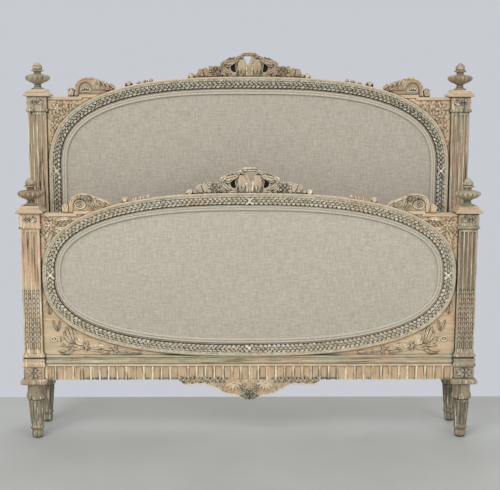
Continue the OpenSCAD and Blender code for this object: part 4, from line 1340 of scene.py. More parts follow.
@dataclass(frozen=True)
class Posts:
    """The four-square fluted posts of a board, with their caps and finials."""

    board: Board
    post_x: float = 790.0
    half_block: float = 36.0
    half_shaft: float = 33.5
    flute_pitch: float = 14.75
    husk_pitch: float = 18.0
    husk_top: float = 562.0
    husk_foot: float = 350.0
    gadroons: int = 14

    def build(self) -> None:
        """Dress the posts and caps, and add their finials, husks and rosettes."""
        for side, hand in SIDES:
            soften(f"{self.board.name}_post_{hand}",
                   Finish.HEAD_POST if self.board is HEAD else Finish.FOOT_POST, 0.7)
            soften(f"{self.board.name}_cap_{hand}", Finish.CAP, 1.0)
            self.finial(side, hand)
            self.husks(side, hand)
            self.joint(side, hand)
        self.rosettes()

    def joint(self, side: int, hand: str) -> None:
        """Run the old paint caught in the joint between a post and the frame.

        Args:
            side: -1 on the left and 1 on the right.
            hand: The word for that side.
        """
        inner = self.post_x - self.half_shaft
        near, far, low, high = inner - 2.8, inner + 0.3, 276.0, self.board.post_h - 46
        half = (low + high) / 2
        line = np.array([(near, low), (far, low), (far, half), (far, high), (near, high), (near, half)])
        piece = sawn_plate(f"{self.board.name}_joint_paint_{hand}", self.board, [line * (side, 1)], 8.0,
                           Board.FACE - 2.4, edge=0.5)
        fit(piece, self.board, Finish.JOINT)

    def finial(self, side: int, hand: str) -> None:
        """Turn one finial: a gadrooned bowl on a stem, with a scaled bud.

        Args:
            side: -1 on the left and 1 on the right.
            hand: The word for that side.
        """
        z = self.board.post_h + 26
        profile = [
            (6, -48), (6, 0.2), (24, 0.2), (24.5, 2), (22, 4.4), (18, 5.6), (14, 8), (12.4, 10.6), (14.6, 12),
            (14.6, 13.6), (11.6, 14.8), (11, 17.4), (13.6, 18.4), (13.6, 20), (21, 23.5), (31, 27.5),
            (39.5, 32.5), (44.5, 38), (46, 42.5), (45, 47), (41, 50.5), (34, 53), (25, 54.4), (18, 55.6),
            (12.8, 58), (12.6, 62), (14, 64.6), (18.5, 66), (23, 67.4), (24.2, 69), (22.4, 71), (16, 72.4),
            (15.4, 75), (16.4, 79), (15.4, 85), (12, 90.5), (7.4, 94.8), (3, 97.2), (0, 97.8)]
        Bench.clear()
        count = self.gadroons * 6
        axis = Vector((side * self.post_x * MM, self.board.depth * MM, 0))
        bpy.ops.mesh.primitive_circle_add(vertices=count, radius=profile[0][0] * MM, fill_type="NGON",
                                          location=(axis.x, axis.y, (z + profile[0][1]) * MM))
        piece = bpy.context.object
        piece.name = f"{self.board.name}_turned_finial_{hand}"
        piece.data.name = piece.name
        bpy.ops.object.transform_apply(location=True, rotation=True, scale=True)
        Bench.edit(piece)
        bpy.ops.mesh.select_all(action="SELECT")
        for (was, low), (now, high) in zip(profile, profile[1:]):
            bpy.ops.mesh.extrude_region_move(TRANSFORM_OT_translate={"value": (0, 0, (high - low) * MM)})
            share = max(now, 0.02) / was
            bpy.ops.transform.resize(value=(share, share, 1), center_override=axis)
        for share, furrows in ((0.87, (0,)), (0.945, (1, 5)), (1.01, (3,))):
            def in_bowl(place: Vector) -> bool:
                """Say whether a vertex lies on a furrow of the bowl."""
                angle = math.atan2(place.y - axis.y, place.x - axis.x) / (2 * math.pi) * count
                return 19 < place.z / MM - z < 52.2 and round(angle) % 6 in furrows
            Bench.pick(piece, in_bowl)
            bpy.ops.transform.resize(value=(share, share, 1), center_override=axis)
        bpy.ops.object.mode_set(mode="OBJECT")
        Bench.close(piece, merge=2e-5)
        Bench.join(piece, self.bud(side, z))
        Bench.smooth(piece, 45)
        fit(piece, self.board, Finish.FINIAL, f"finial_{hand}")

    def bud(self, side: int, z: float) -> Piece:
        """Lay the scales of the bud at the top of the finial that stands at a height.

        Args:
            side: -1 on the left and 1 on the right.
            z: The height.

        Returns:
            The bud.
        """
        shape, bud = patterns().petal, Relief()
        along, across, up = shape.points.T
        rows = ((17.0, 75.0, 8), (17.0, 79.5, 8), (15.4, 84.0, 7), (12.0, 88.5, 6), (7.4, 92.2, 5))
        for row, (radius, height, scales) in enumerate(rows):
            for index in range(scales):
                wide = 2 * math.pi * radius / scales * 1.12
                turn = 2 * math.pi * (index + 0.5 * (row % 2)) / scales + across * wide / radius
                out = radius - 2.2 - 0.16 * along * row * 5 + up * 3.4 + 1.6 * along
                bud.add(np.column_stack([self.post_x * side + out * np.cos(turn),
                                         z + height + (along - 0.35) * 9.5, -out * np.sin(turn)]),
                        shape.faces, up)
        return bud.build("bud", self.board)

    def turn_onto(self, whole: Relief, carving: Relief, side: int, degrees: float, z: float = 0.0) -> None:
        """Add a carving, turned onto a face of a post.

        Args:
            whole: The carving that it is added to.
            carving: The carving, as it lies on a front face.
            side: The side of the post, -1 on the left and 1 on the right.
            degrees: How far the face is turned from the front.
            z: The height of its middle.
        """
        turn = np.array(Matrix.Rotation(math.radians(degrees), 3, "Z")).T

        def move(points: np.ndarray) -> np.ndarray:
            """Return the new places of its points."""
            x, y, up = (np.column_stack([points[:, 0], -points[:, 2], points[:, 1]]) @ turn).T
            return np.column_stack([side * (x + self.post_x), up + z, -y])

        whole.copy_in(carving, move)

    def husks(self, side: int, hand: str) -> None:
        """Carve the chains of husks in the lower half of the flutes, on the three open faces of a post.

        Args:
            side: -1 on the left and 1 on the right.
            hand: The word for that side.
        """
        carving, turned = Relief(), Relief()
        for flute in range(4):
            for row in range(int((self.husk_top - self.husk_foot) / self.husk_pitch)):
                self.husk(carving, (flute - 1.5) * self.flute_pitch, self.husk_top - row * self.husk_pitch)
        for degrees in (0, 90, 180):
            self.turn_onto(turned, carving, side, degrees)
        fit(turned.build(f"{self.board.name}_post_husks_{hand}", self.board), self.board, Finish.HUSK)

    def husk(self, carving: Relief, x: float, z: float) -> None:
        """Lay one husk: a bead over three small petals that open downwards.

        Args:
            carving: The carving that it is added to.
            x: Its place along the width.
            z: The height of its top.
        """
        base = self.half_shaft - 0.6
        small = patterns().small_leaf
        carving.bead((x, z - 2.8), 2.8, base, 2.6, fine=False)
        carving.leaf((x, z - 5), (x, z - 17), 6.0, 3.4, base, tip=0.6, pattern=small)
        for way in (-1, 1):
            carving.leaf((x + way * 1.2, z - 5), (x + way * 4.6, z - 15), 5.2, 2.8, base, 0.12 * way,
                         pattern=small)

    def rosettes(self) -> None:
        """Carve the flowers on the front and outer faces of the square blocks."""
        face = self.half_block - 0.2
        top, low = self.board.post_h - 22.5, 254.0
        places = [(0, top), (90, top), (90, low)] + ([(0, low)] if self.board is FOOT else [])
        carved = Relief()
        for side, _ in SIDES:
            for degrees, z in places:
                one = Relief()
                if z == low:
                    for index in range(8):
                        angle = math.pi * (index + 0.5) / 4
                        way = np.array([math.cos(angle) * 1.34, math.sin(angle) * 0.80])
                        one.leaf(way * 4.0, way * 20.5, 8.6, 9.0, face, pattern=patterns().petal)
                    one.bead((0, 0), 3.0, face - 0.3, 3.0)
                else:
                    one.flower((12, 1), 13, face, petals=5, height=8)
                    one.leaves([((0, -2), (-27, 7), 17, 0.14), ((0, -2), (-26, -8), 15, -0.1),
                                ((0, -2), (-15, 14), 11, 0.1)], 7.0, face)
                self.turn_onto(carved, one, side, degrees, z)
        fit(carved.build(f"{self.board.name}_carved_rosettes", self.board), self.board, Finish.CARVING,
            "rosettes")


@dataclass(frozen=True)
class Joinery:
    """The jointed frame of a board: rails, stiles, pegs and the plain mouldings."""

    board: Board
    fillet_z: float = 281.0
    fillet_out: float = 23.6
    fillet_half: float = 753.4

    def build(self) -> None:
        """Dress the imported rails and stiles, and run the mouldings."""
        parts = dict.fromkeys(("apron_rail", "bottom_rail", "top_rail", "stile_left", "stile_right", "pegs"),
                              Finish.FRAME)
        if self.board is FOOT:
            parts.update(apron_rail=Finish.FLUTED, apron_moulding=Finish.MOULDING)
        for part, finish in parts.items():
            soften(f"{self.board.name}_{part}", finish)
        self.rim()
        if self.board is FOOT:
            self.fillet()

    def rim(self) -> None:
        """Run the rim's bead, its cove, and the sight moulding in dark paint with painted shade, round the
        opening.
        """
        for title, finish, profile in (
                ("rim_bead", Finish.LIP, [
                    (37.4, 24.9), (37.9, 26.9), (39.4, 28.2), (41.6, 28.5), (43.8, 27.7), (45.4, 25.8),
                    (45.8, 23.4), (45.8, 17.8), (44.9, 17.8), (44.9, 24.9)]),
                ("rim_cove", Finish.COVE, [
                    (30.8, 17.8), (30.9, 24.0), (31.6, 25.5), (33.2, 25.9), (35.8, 25.5), (37.7, 26.0),
                    (37.7, 24.9), (31.2, 24.8)]),
                ("sight_moulding", Finish.SIGHT, [
                    (-0.6, 12.0), (-0.4, 13.4), (0.6, 16.4), (1.9, 18.8), (3.6, 20.4), (5.4, 21.2),
                    (7.0, 21.2), (7.6, 19.0), (7.6, 12.0)])):
            fit(swept(f"{self.board.name}_{title}", self.board, profile), self.board, finish)

    def fillet(self) -> None:
        """Plane the half-round fillet along the top of the fluted rail."""
        Bench.clear()
        middle = Vector((0, (self.board.depth - self.fillet_out) * MM, self.fillet_z * MM))
        bpy.ops.mesh.primitive_cylinder_add(vertices=16, radius=3.2 * MM, depth=2 * self.fillet_half * MM,
                                            rotation=(0, math.pi / 2, 0), location=middle)
        piece = bpy.context.object
        piece.name = f"{self.board.name}_rail_fillet"
        bpy.ops.object.transform_apply(location=True, rotation=True, scale=True)
        Bench.edit(piece)
        bpy.ops.mesh.select_all(action="SELECT")
        bpy.ops.transform.resize(value=(1, 0.8, 1.5), center_override=middle)
        bpy.ops.object.mode_set(mode="OBJECT")
        Bench.smooth(piece, 40)
        fit(piece, self.board, Finish.FRAME)


@dataclass(frozen=True)
class LaurelBand:
    """The carved laurel round the opening, with crossed ribbons."""

    board: Board
    inner: float = 4.0
    outer: float = 30.4
    pitch: float = 16.6
    leaf: float = 18.0

    def build(self) -> None:
        """Carve the band."""
        board = self.board
        outline = board.outline
        middle = (self.inner + self.outer) / 2
        carving = Relief(21)
        chance = carving.chance
        count = int(round(outline.length(middle) / self.pitch / 2)) * 2
        for track, start, lean, width, height, base in (
                (-1, 0.0, -0.50, 11.0, 5.4, 1.4), (1, 0.0, 0.50, 11.0, 5.4, 1.4),
                (0, 0.5, 0.0, 8.6, 5.2, 3.4)):
            points, normals = outline.ring(middle + 1.0 + track * 4.4, count, start)
            for index, (here, out) in enumerate(zip(points, normals)):
                way = np.array([-out[1], out[0]]) * (-1 if index >= count // 2 else 1) + out * lean
                way *= self.leaf * chance.uniform(0.90, 1.06) / np.linalg.norm(way)
                carving.leaf(here, here + way, width * chance.uniform(0.9, 1.1), height, board.FACE + base,
                             bow=0.05 * track, tip=1.6)
        for side, radius in ((-7.2, 2.4), (10.2, 3.0)):
            for point in outline.ring(middle + side, count, 0.15)[0]:
                carving.bead(point, radius, board.FACE + 2.6, 4.0, fine=False)
        self.ties(carving, outline, middle)
        piece = carving.build(f"{board.name}_laurel_band", board)
        half = (self.outer - self.inner) / 2
        Bench.join(piece, swept("ground", board, [
            (middle + share * half, board.FACE + rise) for share, rise in
            ((-1, -0.6), (-1, 0.8), (-0.6, 1.9), (0, 2.6), (0.6, 1.9), (1, 0.8), (1, -0.6))], smooth=60))
        fit(piece, board, Finish.BAND if board is FOOT else Finish.HEAD_BAND, "carved_band")

    def ties(self, carving: Relief, outline: Outline, middle: float) -> None:
        """Cross two ribbons over the band at its top, bottom and sides.

        Args:
            carving: The carving that they are added to.
            outline: The edge of the upholstery.
            middle: How far outside the edge the band's middle lies.
        """
        steps = 720
        inner, line, outer = (outline.ring(out, steps)[0]
                              for out in (self.inner + 0.5, middle, self.outer - 0.5))
        sides = int(np.argmin(line[:, 0]))
        shares = np.linspace(-1, 1, 9)
        for at in (0, steps // 2, sides, steps - sides):
            for way in (-1, 1):
                where = [int(at + way * k * 3) % steps for k in shares]
                path = inner[where] * (1 - shares[:, None]) / 2 + outer[where] * (1 + shares[:, None]) / 2
                carving.strip(path, 7.5, 4.2, Board.FACE + 2.8, ribs=2, forward=3.0 * (1 - shares ** 2))
            carving.bead((inner[at] + outer[at]) / 2, 5.0, Board.FACE + 8.5, 3.4)


@dataclass(frozen=True)
class Upholstery:
    """The padded linen panel of a board, its double welt, and the cloth and tacks at its back."""

    board: Board
    cord_r: float = 4.5
    crown: float = 11.0
    rings: int = 22
    around: int = 176
    back: float = -10.8
    tack_pitch: float = 95.0
    tack_r: float = 5.0
    seat: float = 8.6

    def build(self) -> None:
        """Make the panel, the welt, the backing and the cloth."""
        self.welt()
        self.panel()
        soften(f"{self.board.name}_backing_board", Finish.BOARD)
        self.back_cloth()
        self.tacks()

    def welt(self) -> None:
        """Run the two fabric-covered cords and the seam between them."""
        turns = [math.pi * (1.12 - 1.24 * k / 8) for k in range(9)]
        profile = [(centre + self.cord_r * math.cos(turn), 13.1 + self.cord_r * math.sin(turn))
                   for centre in (-13.9, -4.9) for turn in turns]
        piece = swept(f"{self.board.name}_double_welt", self.board, [*profile, (-0.8, 8.7), (-18.0, 8.7)], 50)
        fit(piece, self.board, Finish.WELT, "welt")

    def panel(self) -> None:
        """Make the padded panel: a closed form whose front swells under pressure from a fixed edge."""
        board, count = self.board, self.around
        edge, out = board.outline.ring(0, count)
        centre = np.array([0.0, (edge[:, 1].max() + edge[:, 1].min()) / 2])
        rows, pins = [], []

        def ring(offset: float, forward: float, share: float = 1.0, pinned: bool = True) -> None:
            """Add one ring of points, drawn in towards the middle by a share.

            Args:
                offset: How far outside the edge it lies.
                forward: Its height forward.
                share: How much of its distance from the middle is left.
                pinned: Whether it is held.
            """
            line = centre + (edge + offset * out - centre) * share
            rows.append(np.column_stack([line, np.full(count, forward)]))
            pins.extend([float(pinned)] * count)

        for offset, forward in ((-1.0, 7.1), (-1.0, 8.3), (-9.0, 8.6), (-17.6, 8.7)):
            ring(offset, forward)
        for k in range(1, self.rings):
            share = 1 - (k / self.rings) ** 1.15
            ring(-17.6, 8.8 + 5.0 * (1 - share ** 2), share, pinned=k < 2)
        inner = len(rows)
        for k in range(self.rings // 2 - 1, -1, -1):
            ring(-24.5, self.back, 1 - k / (self.rings // 2))
        ring(-24.0, 6.6)
        points = np.vstack([*rows, [[*centre, 14.0], [*centre, self.back]]])
        pins += [0.0, 1.0]
        faces = (ring_faces(range(inner), count, closed=False)
                 + ring_faces([*range(inner, len(rows)), 0], count, closed=False)
                 + fan_faces(inner - 1, count, len(points) - 2) + fan_faces(inner, count, len(points) - 1))
        piece = mesh_object(f"{board.name}_linen_panel", board.place(points), faces)
        Bench.close(piece)
        self.swell(piece, pins)
        level = piece.modifiers.new("Subdivision", "SUBSURF")
        level.levels = level.render_levels = 1
        Bench.settle(piece)
        Bench.smooth(piece)
        fit(piece, board, Finish.LINEN if board is FOOT else Finish.HEAD_LINEN, "linen_cover", "padding")

    def swell(self, piece: Piece, pins: list[float]) -> None:
        """Blow the front of the panel up with a cloth simulation, and hold it to its crown.

        Args:
            piece: The closed panel.
            pins: For each point, how firmly it is held.
        """
        rest = np.array([vertex.co for vertex in piece.data.vertices])
        held = piece.vertex_groups.new(name="held")
        held.add([index for index, weight in enumerate(pins) if weight], 1.0, "REPLACE")
        cloth = piece.modifiers.new("Cloth", "CLOTH")
        cloth.settings.quality = 5
        cloth.settings.use_pressure = True
        cloth.settings.uniform_pressure_force = 4.0
        cloth.settings.tension_stiffness = cloth.settings.compression_stiffness = 12.0
        cloth.settings.effector_weights.gravity = 0.0
        cloth.settings.vertex_group_mass = "held"
        cloth.collision_settings.use_collision = False
        cloth.point_cache.frame_start, cloth.point_cache.frame_end = 1, 20
        for step in range(1, 21):
            bpy.context.scene.frame_set(step)
        Bench.take(piece)
        bpy.ops.object.modifier_apply(modifier=cloth.name)
        bpy.context.scene.frame_set(1)
        piece.vertex_groups.clear()
        now = np.array([vertex.co for vertex in piece.data.vertices])
        free = np.array(pins) < 0.5
        rise = rest[:, 1] - now[:, 1]
        depth = self.board.depth * MM
        start = (depth - rest[:, 1]) / MM - self.seat
        want = self.crown * (np.clip(start / 5.4, 0, 1) ** 0.8)
        if rise[free].max() > 1e-4:
            want = np.maximum(self.crown * np.clip(rise / rise[free].max(), 0, 1), 0.6 * want)
        shaped = np.column_stack([rest[:, 0], depth - (self.seat + want) * MM, rest[:, 2]])
        places = np.where(free[:, None], shaped, rest)
        piece.data.vertices.foreach_set("co", places.astype(np.float32).ravel())
        piece.data.update()

    def tack_count(self) -> int:
        """Return how many tacks hold the back cloth."""
        return int(self.board.outline.length(-6.0) // self.tack_pitch)

    def back_cloth(self) -> None:
        """Stretch the cloth over the back, with its edge turned under."""
        board = self.board
        count, around = 26, 240
        edge = board.outline.ring(4.0, around)[0]
        low, high = edge.min(0), edge.max(0)
        centre = np.array([0.0, (high[1] + low[1]) / 2])
        angle = np.arange(around) / around * self.tack_count() * 2 * math.pi
        rows = []
        for k in range(count):
            share = 1 - (k / count) ** 1.1
            pull = 0.5 * (1 - share) * share * 6 * np.exp(-((1 - share) * 16) ** 2 / 6)
            sag = 1.1 * (1 - share ** 2)
            rows.append(np.column_stack([centre + (edge - centre) * share,
                                         -(16.4 + pull * (0.5 - 0.5 * np.cos(angle)) - sag)]))
        points = np.vstack([*rows, [[*centre, -15.3]]])
        faces = ring_faces(range(count), around, closed=False) + fan_faces(count - 1, around, len(points) - 1)
        piece = mesh_object(f"{board.name}_back_calico", board.place(points), faces)
        Bench.close(piece)
        solid = piece.modifiers.new("Solidify", "SOLIDIFY")
        solid.thickness, solid.offset = 0.8 * MM, 0.0
        Bench.settle(piece)
        Bench.smooth(piece)
        hem = swept(f"{board.name}_back_hem", board, [
            (4.0, -16.0), (4.4, -16.8), (3.8, -17.7), (-2, -17.9), (-8.5, -17.8), (-9.4, -17.2),
            (-9.0, -16.0)], 60)
        fit(hem, board, Finish.CALICO)
        fit(piece, board, Finish.CALICO, "back_cloth")

    def tacks(self) -> None:
        """Drive the domed tacks round the back cloth."""
        Bench.clear()
        bpy.ops.mesh.primitive_uv_sphere_add(segments=14, ring_count=8, radius=0.5)
        piece = bpy.context.object
        Bench.edit(piece)
        Bench.pick(piece, lambda place: place.z < -0.02)
        bpy.ops.transform.resize(value=(1, 1, 0.1), center_override=(0, 0, 0))
        bpy.ops.object.mode_set(mode="OBJECT")
        dome = Bench.lift(piece)
        across, along, up = dome.points.T * [[2 * self.tack_r], [2 * self.tack_r], [4.4]]
        rows = [np.column_stack([x + across, z + along, -17.6 - up])
                for x, z in self.board.outline.ring(-4.0, self.tack_count())[0]]
        faces = [tuple(k + index * len(up) for k in face)
                 for index in range(len(rows)) for face in dome.faces]
        tacks = mesh_object(f"{self.board.name}_domed_tacks", self.board.place(np.vstack(rows)), faces)
        Bench.close(tacks)
        Bench.smooth(tacks, 60)
        fit(tacks, self.board, Finish.IRON, "back_tacks")


@dataclass(frozen=True)
class Crest:
    """The pierced bow of ribbon on the top of a board, with a rose and leaves on each side."""

    board: Board
    front: float = 17.0
    eye: Pair = (57, 33)

    def build(self) -> None:
        """Saw the ground, carve the bow, the roses and the leaves, and set a disc of painted shade in each
        round hollow.
        """
        board = self.board
        move = np.array([0, board.outline.top(0, board.RIM_OUT)])
        half = [(228, -10), (229, 2), (222, 11), (210, 11), (202, 5), (195, 12), (190, 26), (178, 31),
                (162, 30), (154, 22), (146, 30), (134, 39), (118, 41), (106, 40), (98, 50), (90, 62),
                (77, 70), (62, 69), (53, 63), (46, 72), (36, 82), (26, 84), (22, 81), (21, 91), (8, 92)]
        outer = np.vstack([smooth_line(both_halves(half), 4), [(-226, -14), (226, -14)]])
        eyes = [ellipse(self.eye * np.array([side, 1]), 12.5, 15.5, -12 * side) for side, _ in SIDES]
        aside = 4 if board is FOOT else -7
        gap = smooth_line([(aside - 14, 75), (aside + 14, 75), (aside + 9, 60), (aside, 40), (aside - 8, 58)],
                          5, closed=True)
        ground = sawn_plate(f"{board.name}_carved_crest", board,
                            [rows + move for rows in [outer, *eyes, gap]], 0.0, self.front)
        bow = Relief()
        self.carve(bow, move)
        Bench.join(ground, bow.doubled().build("bow", board))
        fit(ground, board, Finish.BROWN if board is HEAD else Finish.CREST, "crest")
        # A near-black disc behind each round hollow of the crest, painted as the shade at its bottom.
        for side, hand in SIDES:
            line = ellipse(self.eye * np.array([side, 1]) + move, 14.5, 17.5, -12 * side)
            fit(sawn_plate(f"{board.name}_crest_hollow_{hand}", board, [line], 0.4, 5.0, edge=0.4), board,
                Finish.HOLLOW_SHADE)

    def carve(self, carving: Relief, move: np.ndarray) -> None:
        """Carve the right half of the bow, with its foot moved to the top of the board.

        Args:
            carving: The carving that they are added to.
            move: The foot of the bow.
        """
        base = self.front - 0.5
        petal, rib = patterns().petal, patterns().rib

        def at(x: float, z: float) -> np.ndarray:
            """Return a place on the crest."""
            return np.array([x, z]) + move

        for pattern, leaves in (
                # The puffed lobe beside the middle, with its creases.
                (petal, (((29, 2), (28, 64), 30, 9, 0.0), ((46, 8), (51, 46), 9, 11, 0.06))),
                (rib, (((9, 2), (12, 48), 12, 8, 0.0), ((24, 6), (25, 30), 7, 10.5, 0.0),
                       ((36, 8), (34, 28), 7, 9.5, 0.0))),
                # The folds over, under and outside the hollow.
                (petal, (((34, 67), (92, 52), 18, 12, -0.06), ((56, 54), (92, 40), 11, 13, -0.1),
                         ((100, 50), (70, 12), 16, 12, 0.12), ((106, 36), (84, 4), 13, 11, 0.12),
                         ((40, 7), (82, 6), 12, 10, -0.1), ((72, 34), (84, 46), 9, 11, 0.1))),
                # The knot of leaves beyond the rose.
                (petal, (((104, 34), (86, 58), 15, 12, -0.14), ((134, 26), (152, 36), 15, 9, 0.1),
                         ((136, 12), (154, 6), 14, 9, -0.1), ((100, 8), (90, -2), 13, 9, -0.1),
                         ((158, 2), (167, 33), 20, 9, 0.1), ((178, 2), (188, 28), 18, 9, 0.08),
                         ((166, 4), (180, 12), 12, 9, -0.1), ((186, 2), (204, 6), 12, 9, -0.05),
                         ((92, 58), (106, 44), 11, 10, 0.1), ((140, 20), (150, 30), 9, 10, 0.1),
                         ((50, 64), (42, 76), 12, 12, 0.1), ((61, 64), (57, 75), 11, 12, 0.1),
                         ((72, 62), (72, 72), 11, 12, 0.1)))):
            for start, end, wide, tall, bow in leaves:
                carving.leaf(at(*start), at(*end), wide, tall, base - 0.5, bow=bow, tip=1.5, pattern=pattern)
        # The bar over the middle and the end of ribbon beside it.
        for rows, wide, tall in (([(0, 84), (8, 84), (16, 84), (24, 84)], 13, 10),
                                 ([(20, 73), (32, 76), (44, 70)], 11, 8)):
            carving.strip(smooth_line([at(*place) for place in rows], 6), wide, tall, base, ribs=2)
        carving.flower(at(119, 20), 22, base, petals=5, height=12)
        carving.bead(at(215, 3), 12, base - 2, 11)
        for x, z in ((99, 28), (146, 20), (100, 16)):
            carving.bead(at(x, z), 4.5, base, 5)


def both_halves(half: Sequence[Pair]) -> list[Pair]:
    """Return the points of a right half followed by those of its mirror image."""
    return [*half, *((-x, z) for x, z in reversed(half))]


def ellipse(centre: Pair, half_width: float, half_height: float, degrees: float = 0) -> np.ndarray:
    """Return points on a turned ellipse.

    Args:
        centre: Its middle, in X and Z.
        half_width: Half its width.
        half_height: Half its height.
        degrees: How far it is turned to the left.

    Returns:
        The points, one row each.
    """
    angle = np.linspace(0, 2 * math.pi, 30, endpoint=False)
    turn = math.radians(degrees)
    x, z = half_width * np.cos(angle), half_height * np.sin(angle)
    return np.column_stack([centre[0] + x * math.cos(turn) - z * math.sin(turn),
                            centre[1] + x * math.sin(turn) + z * math.cos(turn)])


@dataclass(frozen=True)
class Scrolls:
    """The scroll on each shoulder of a board, with its bud, and the sprig between it and the crest."""

    board: Board
    front: float = 17.0
    corner_x: float = -634.0
    tail_x: float = 70.0
    berry_x: float = -450.0

    def build(self) -> None:
        """Saw and carve both scrolls and both sprigs."""
        board = self.board
        for side, hand in ((1, "left"), (-1, "right")):
            self.scroll(side, hand)
        sprigs = Relief()
        self.sprig(sprigs)
        fit(sprigs.doubled().build(f"{board.name}_carved_sprigs", board), board, self.finish, "sprigs")

    @property
    def finish(self) -> Finish:
        """The finish of the scrolls and sprigs."""
        return Finish.SPRAY if self.board is FOOT else Finish.BROWN

    def at(self, x: float, z: float) -> np.ndarray:
        """Return a place on the left scroll, with the scroll's tail drawn in."""
        return np.array([self.corner_x + (x if x <= self.tail_x else self.tail_x + (x - self.tail_x) * 0.74),
                         self.board.shoulder + z])

    def drawn(self, points: Sequence[Pair] | np.ndarray) -> np.ndarray:
        """Return a line as it lies on the left scroll."""
        return np.array([self.at(x, z) for x, z in points])

    def scroll(self, side: int, hand: str) -> None:
        """Make the scroll of one shoulder, drawn for the left and mirrored for the right.

        Args:
            side: 1 on the left and -1 on the right.
            hand: The word for that side.
        """
        board = self.board
        top = smooth_line([
            (-13, 2), (-16, 22), (-14, 42), (-6, 56), (6, 65), (20, 70), (38, 72), (58, 68), (76, 60),
            (94, 53), (110, 47), (124, 42), (140, 38), (154, 30), (160, 22), (152, 14)], 4)
        under = smooth_line([(152, 14), (128, 21), (96, 25), (66, 25), (50, 27), (46, 38), (38, 48), (24, 53),
                             (10, 49), (1, 38), (-2, 24), (-2, 2)], 4)
        bud = smooth_line([(-42, 0), (-43, 14), (-40, 28), (-31, 33), (-22, 29), (-19, 15), (-19, 0)], 4)
        mirror = np.array([side, 1])
        foot = np.array([(112, -2), (60, 1), (2, 2)]) + [self.corner_x, board.shoulder]
        ground = sawn_plate(f"{board.name}_carved_scroll_{hand}", board,
                            [np.vstack([self.drawn(top), foot]) * mirror, self.drawn(bud) * mirror], 0.0,
                            self.front - 6)
        hood = sawn_plate("hood", board, [self.drawn([*top, *under[1:]]) * mirror], 2.0, self.front, edge=3.0)
        carving, eye = Relief(), Relief()
        self.carve(carving)
        self.carve_eye(eye)
        if side < 0:
            carving, eye = carving.mirrored(), eye.mirrored()
        Bench.join(ground, hood, carving.build("scroll", board))
        fit(ground, board, self.finish, f"scroll_{hand}")
        fit(eye.build(f"{board.name}_scroll_eye_{hand}", board), board, Finish.CREAM)

    def carve(self, carving: Relief) -> None:
        """Carve the hood's ribs, the drooping leaves, the base and the bud, for the left shoulder.

        Args:
            carving: The carving that they are added to.
        """
        base, at = self.front - 0.8, self.at
        rim = smooth_line([(-12, 8), (-14, 26), (-11, 42), (-2, 55), (14, 65), (34, 68), (54, 65)], 5)
        carving.strip(self.drawn(rim), np.linspace(4, 8, len(rim)), np.linspace(3, 5, len(rim)), base)
        for start, end, wide, height in (
                ((48, 66), (60, 29), 19, 6), ((62, 65), (82, 28), 20, 8), ((80, 58), (106, 26), 20, 8),
                ((98, 51), (130, 22), 19, 8), ((116, 44), (160, 21), 18, 8)):
            carving.leaf(at(*start), at(*end), wide, height, base - 1, bow=0.14, tip=1.0,
                         pattern=patterns().small_leaf)
        carving.strip(smooth_line([at(-16, 3), at(20, 4), at(60, 4), at(96, 4)], 6), 6, 5, self.front - 7)
        carving.leaves((((-30, 1), (-30, 32), 17), ((-35, 1), (-40, 28), 11), ((-26, 1), (-21, 28), 11)),
                       8, self.front - 7, at=at, pattern=patterns().rib)

    def carve_eye(self, carving: Relief) -> None:
        """Carve the eye: a ring and small flowers on the foot board, berries on the head board.

        Args:
            carving: The carving that it is added to.
        """
        low, at = self.front - 6.5, self.at
        if self.board is FOOT:
            carving.strip(ellipse(at(23, 31), 19, 15), 6.5, 8, low, closed=True)
            carving.flower(at(21, 31), 11, low, petals=5, height=7, eye=True)
            carving.flower(at(54, 54), 17, self.front - 0.5, petals=7, height=11)
            carving.leaves((((64, 52), (84, 18), 14, 0.1), ((90, 48), (134, 26), 14, 0.1),
                            ((52, 30), (72, 14), 10, 0.1), ((38, 50), (28, 64), 10, 0.1),
                            ((26, 52), (14, 60), 9, 0.1)), 9, self.front + 1.5, tip=1.5, at=at)
        else:
            for x, z in ((7, 26), (15, 30), (24, 32), (32, 30), (40, 26)):
                carving.bead(at(x, z), 4.2, low + 1, 5)
                carving.leaf(at(23, 17), at(x, z - 3), 7, 4, low)
            carving.strip(smooth_line([at(1, 20), at(22, 19), at(45, 21)], 6), 5, 5, low)

    def sprig(self, carving: Relief) -> None:
        """Lay the berry and its run of leaves on the left of the crest.

        Args:
            carving: The carving that they are added to.
        """
        outline, berry, base = self.board.outline, self.berry_x, 9.0

        def on_rim(x: float, up: float) -> np.ndarray:
            """Return a place above the rim."""
            return np.array([x, outline.top(x, Board.RIM_OUT) + up])

        carving.bead(on_rim(berry, 9), 11.5, base, 9)
        for dx in (-9, 9):
            carving.leaf(on_rim(berry + dx, -2), on_rim(berry + dx * 0.5, 17), 13, 11, base - 4,
                         bow=-0.01 * dx)
        for dx, tall, wide in ((30, 7, 10), (38, 10, 12), (56, 11, 11), (65, 10, 11)):
            carving.leaf(on_rim(berry + dx, -4), on_rim(berry + 2 + dx, tall), wide, 9, base - 4,
                         pattern=patterns().rib)
        carving.bead(on_rim(-366, 6), 7.5, base - 2, 8)
        for x in (-424, -400, -376):
            carving.leaf(on_rim(x, -3), on_rim(x + 18, 1), 8, 8, base - 4, bow=0.1)


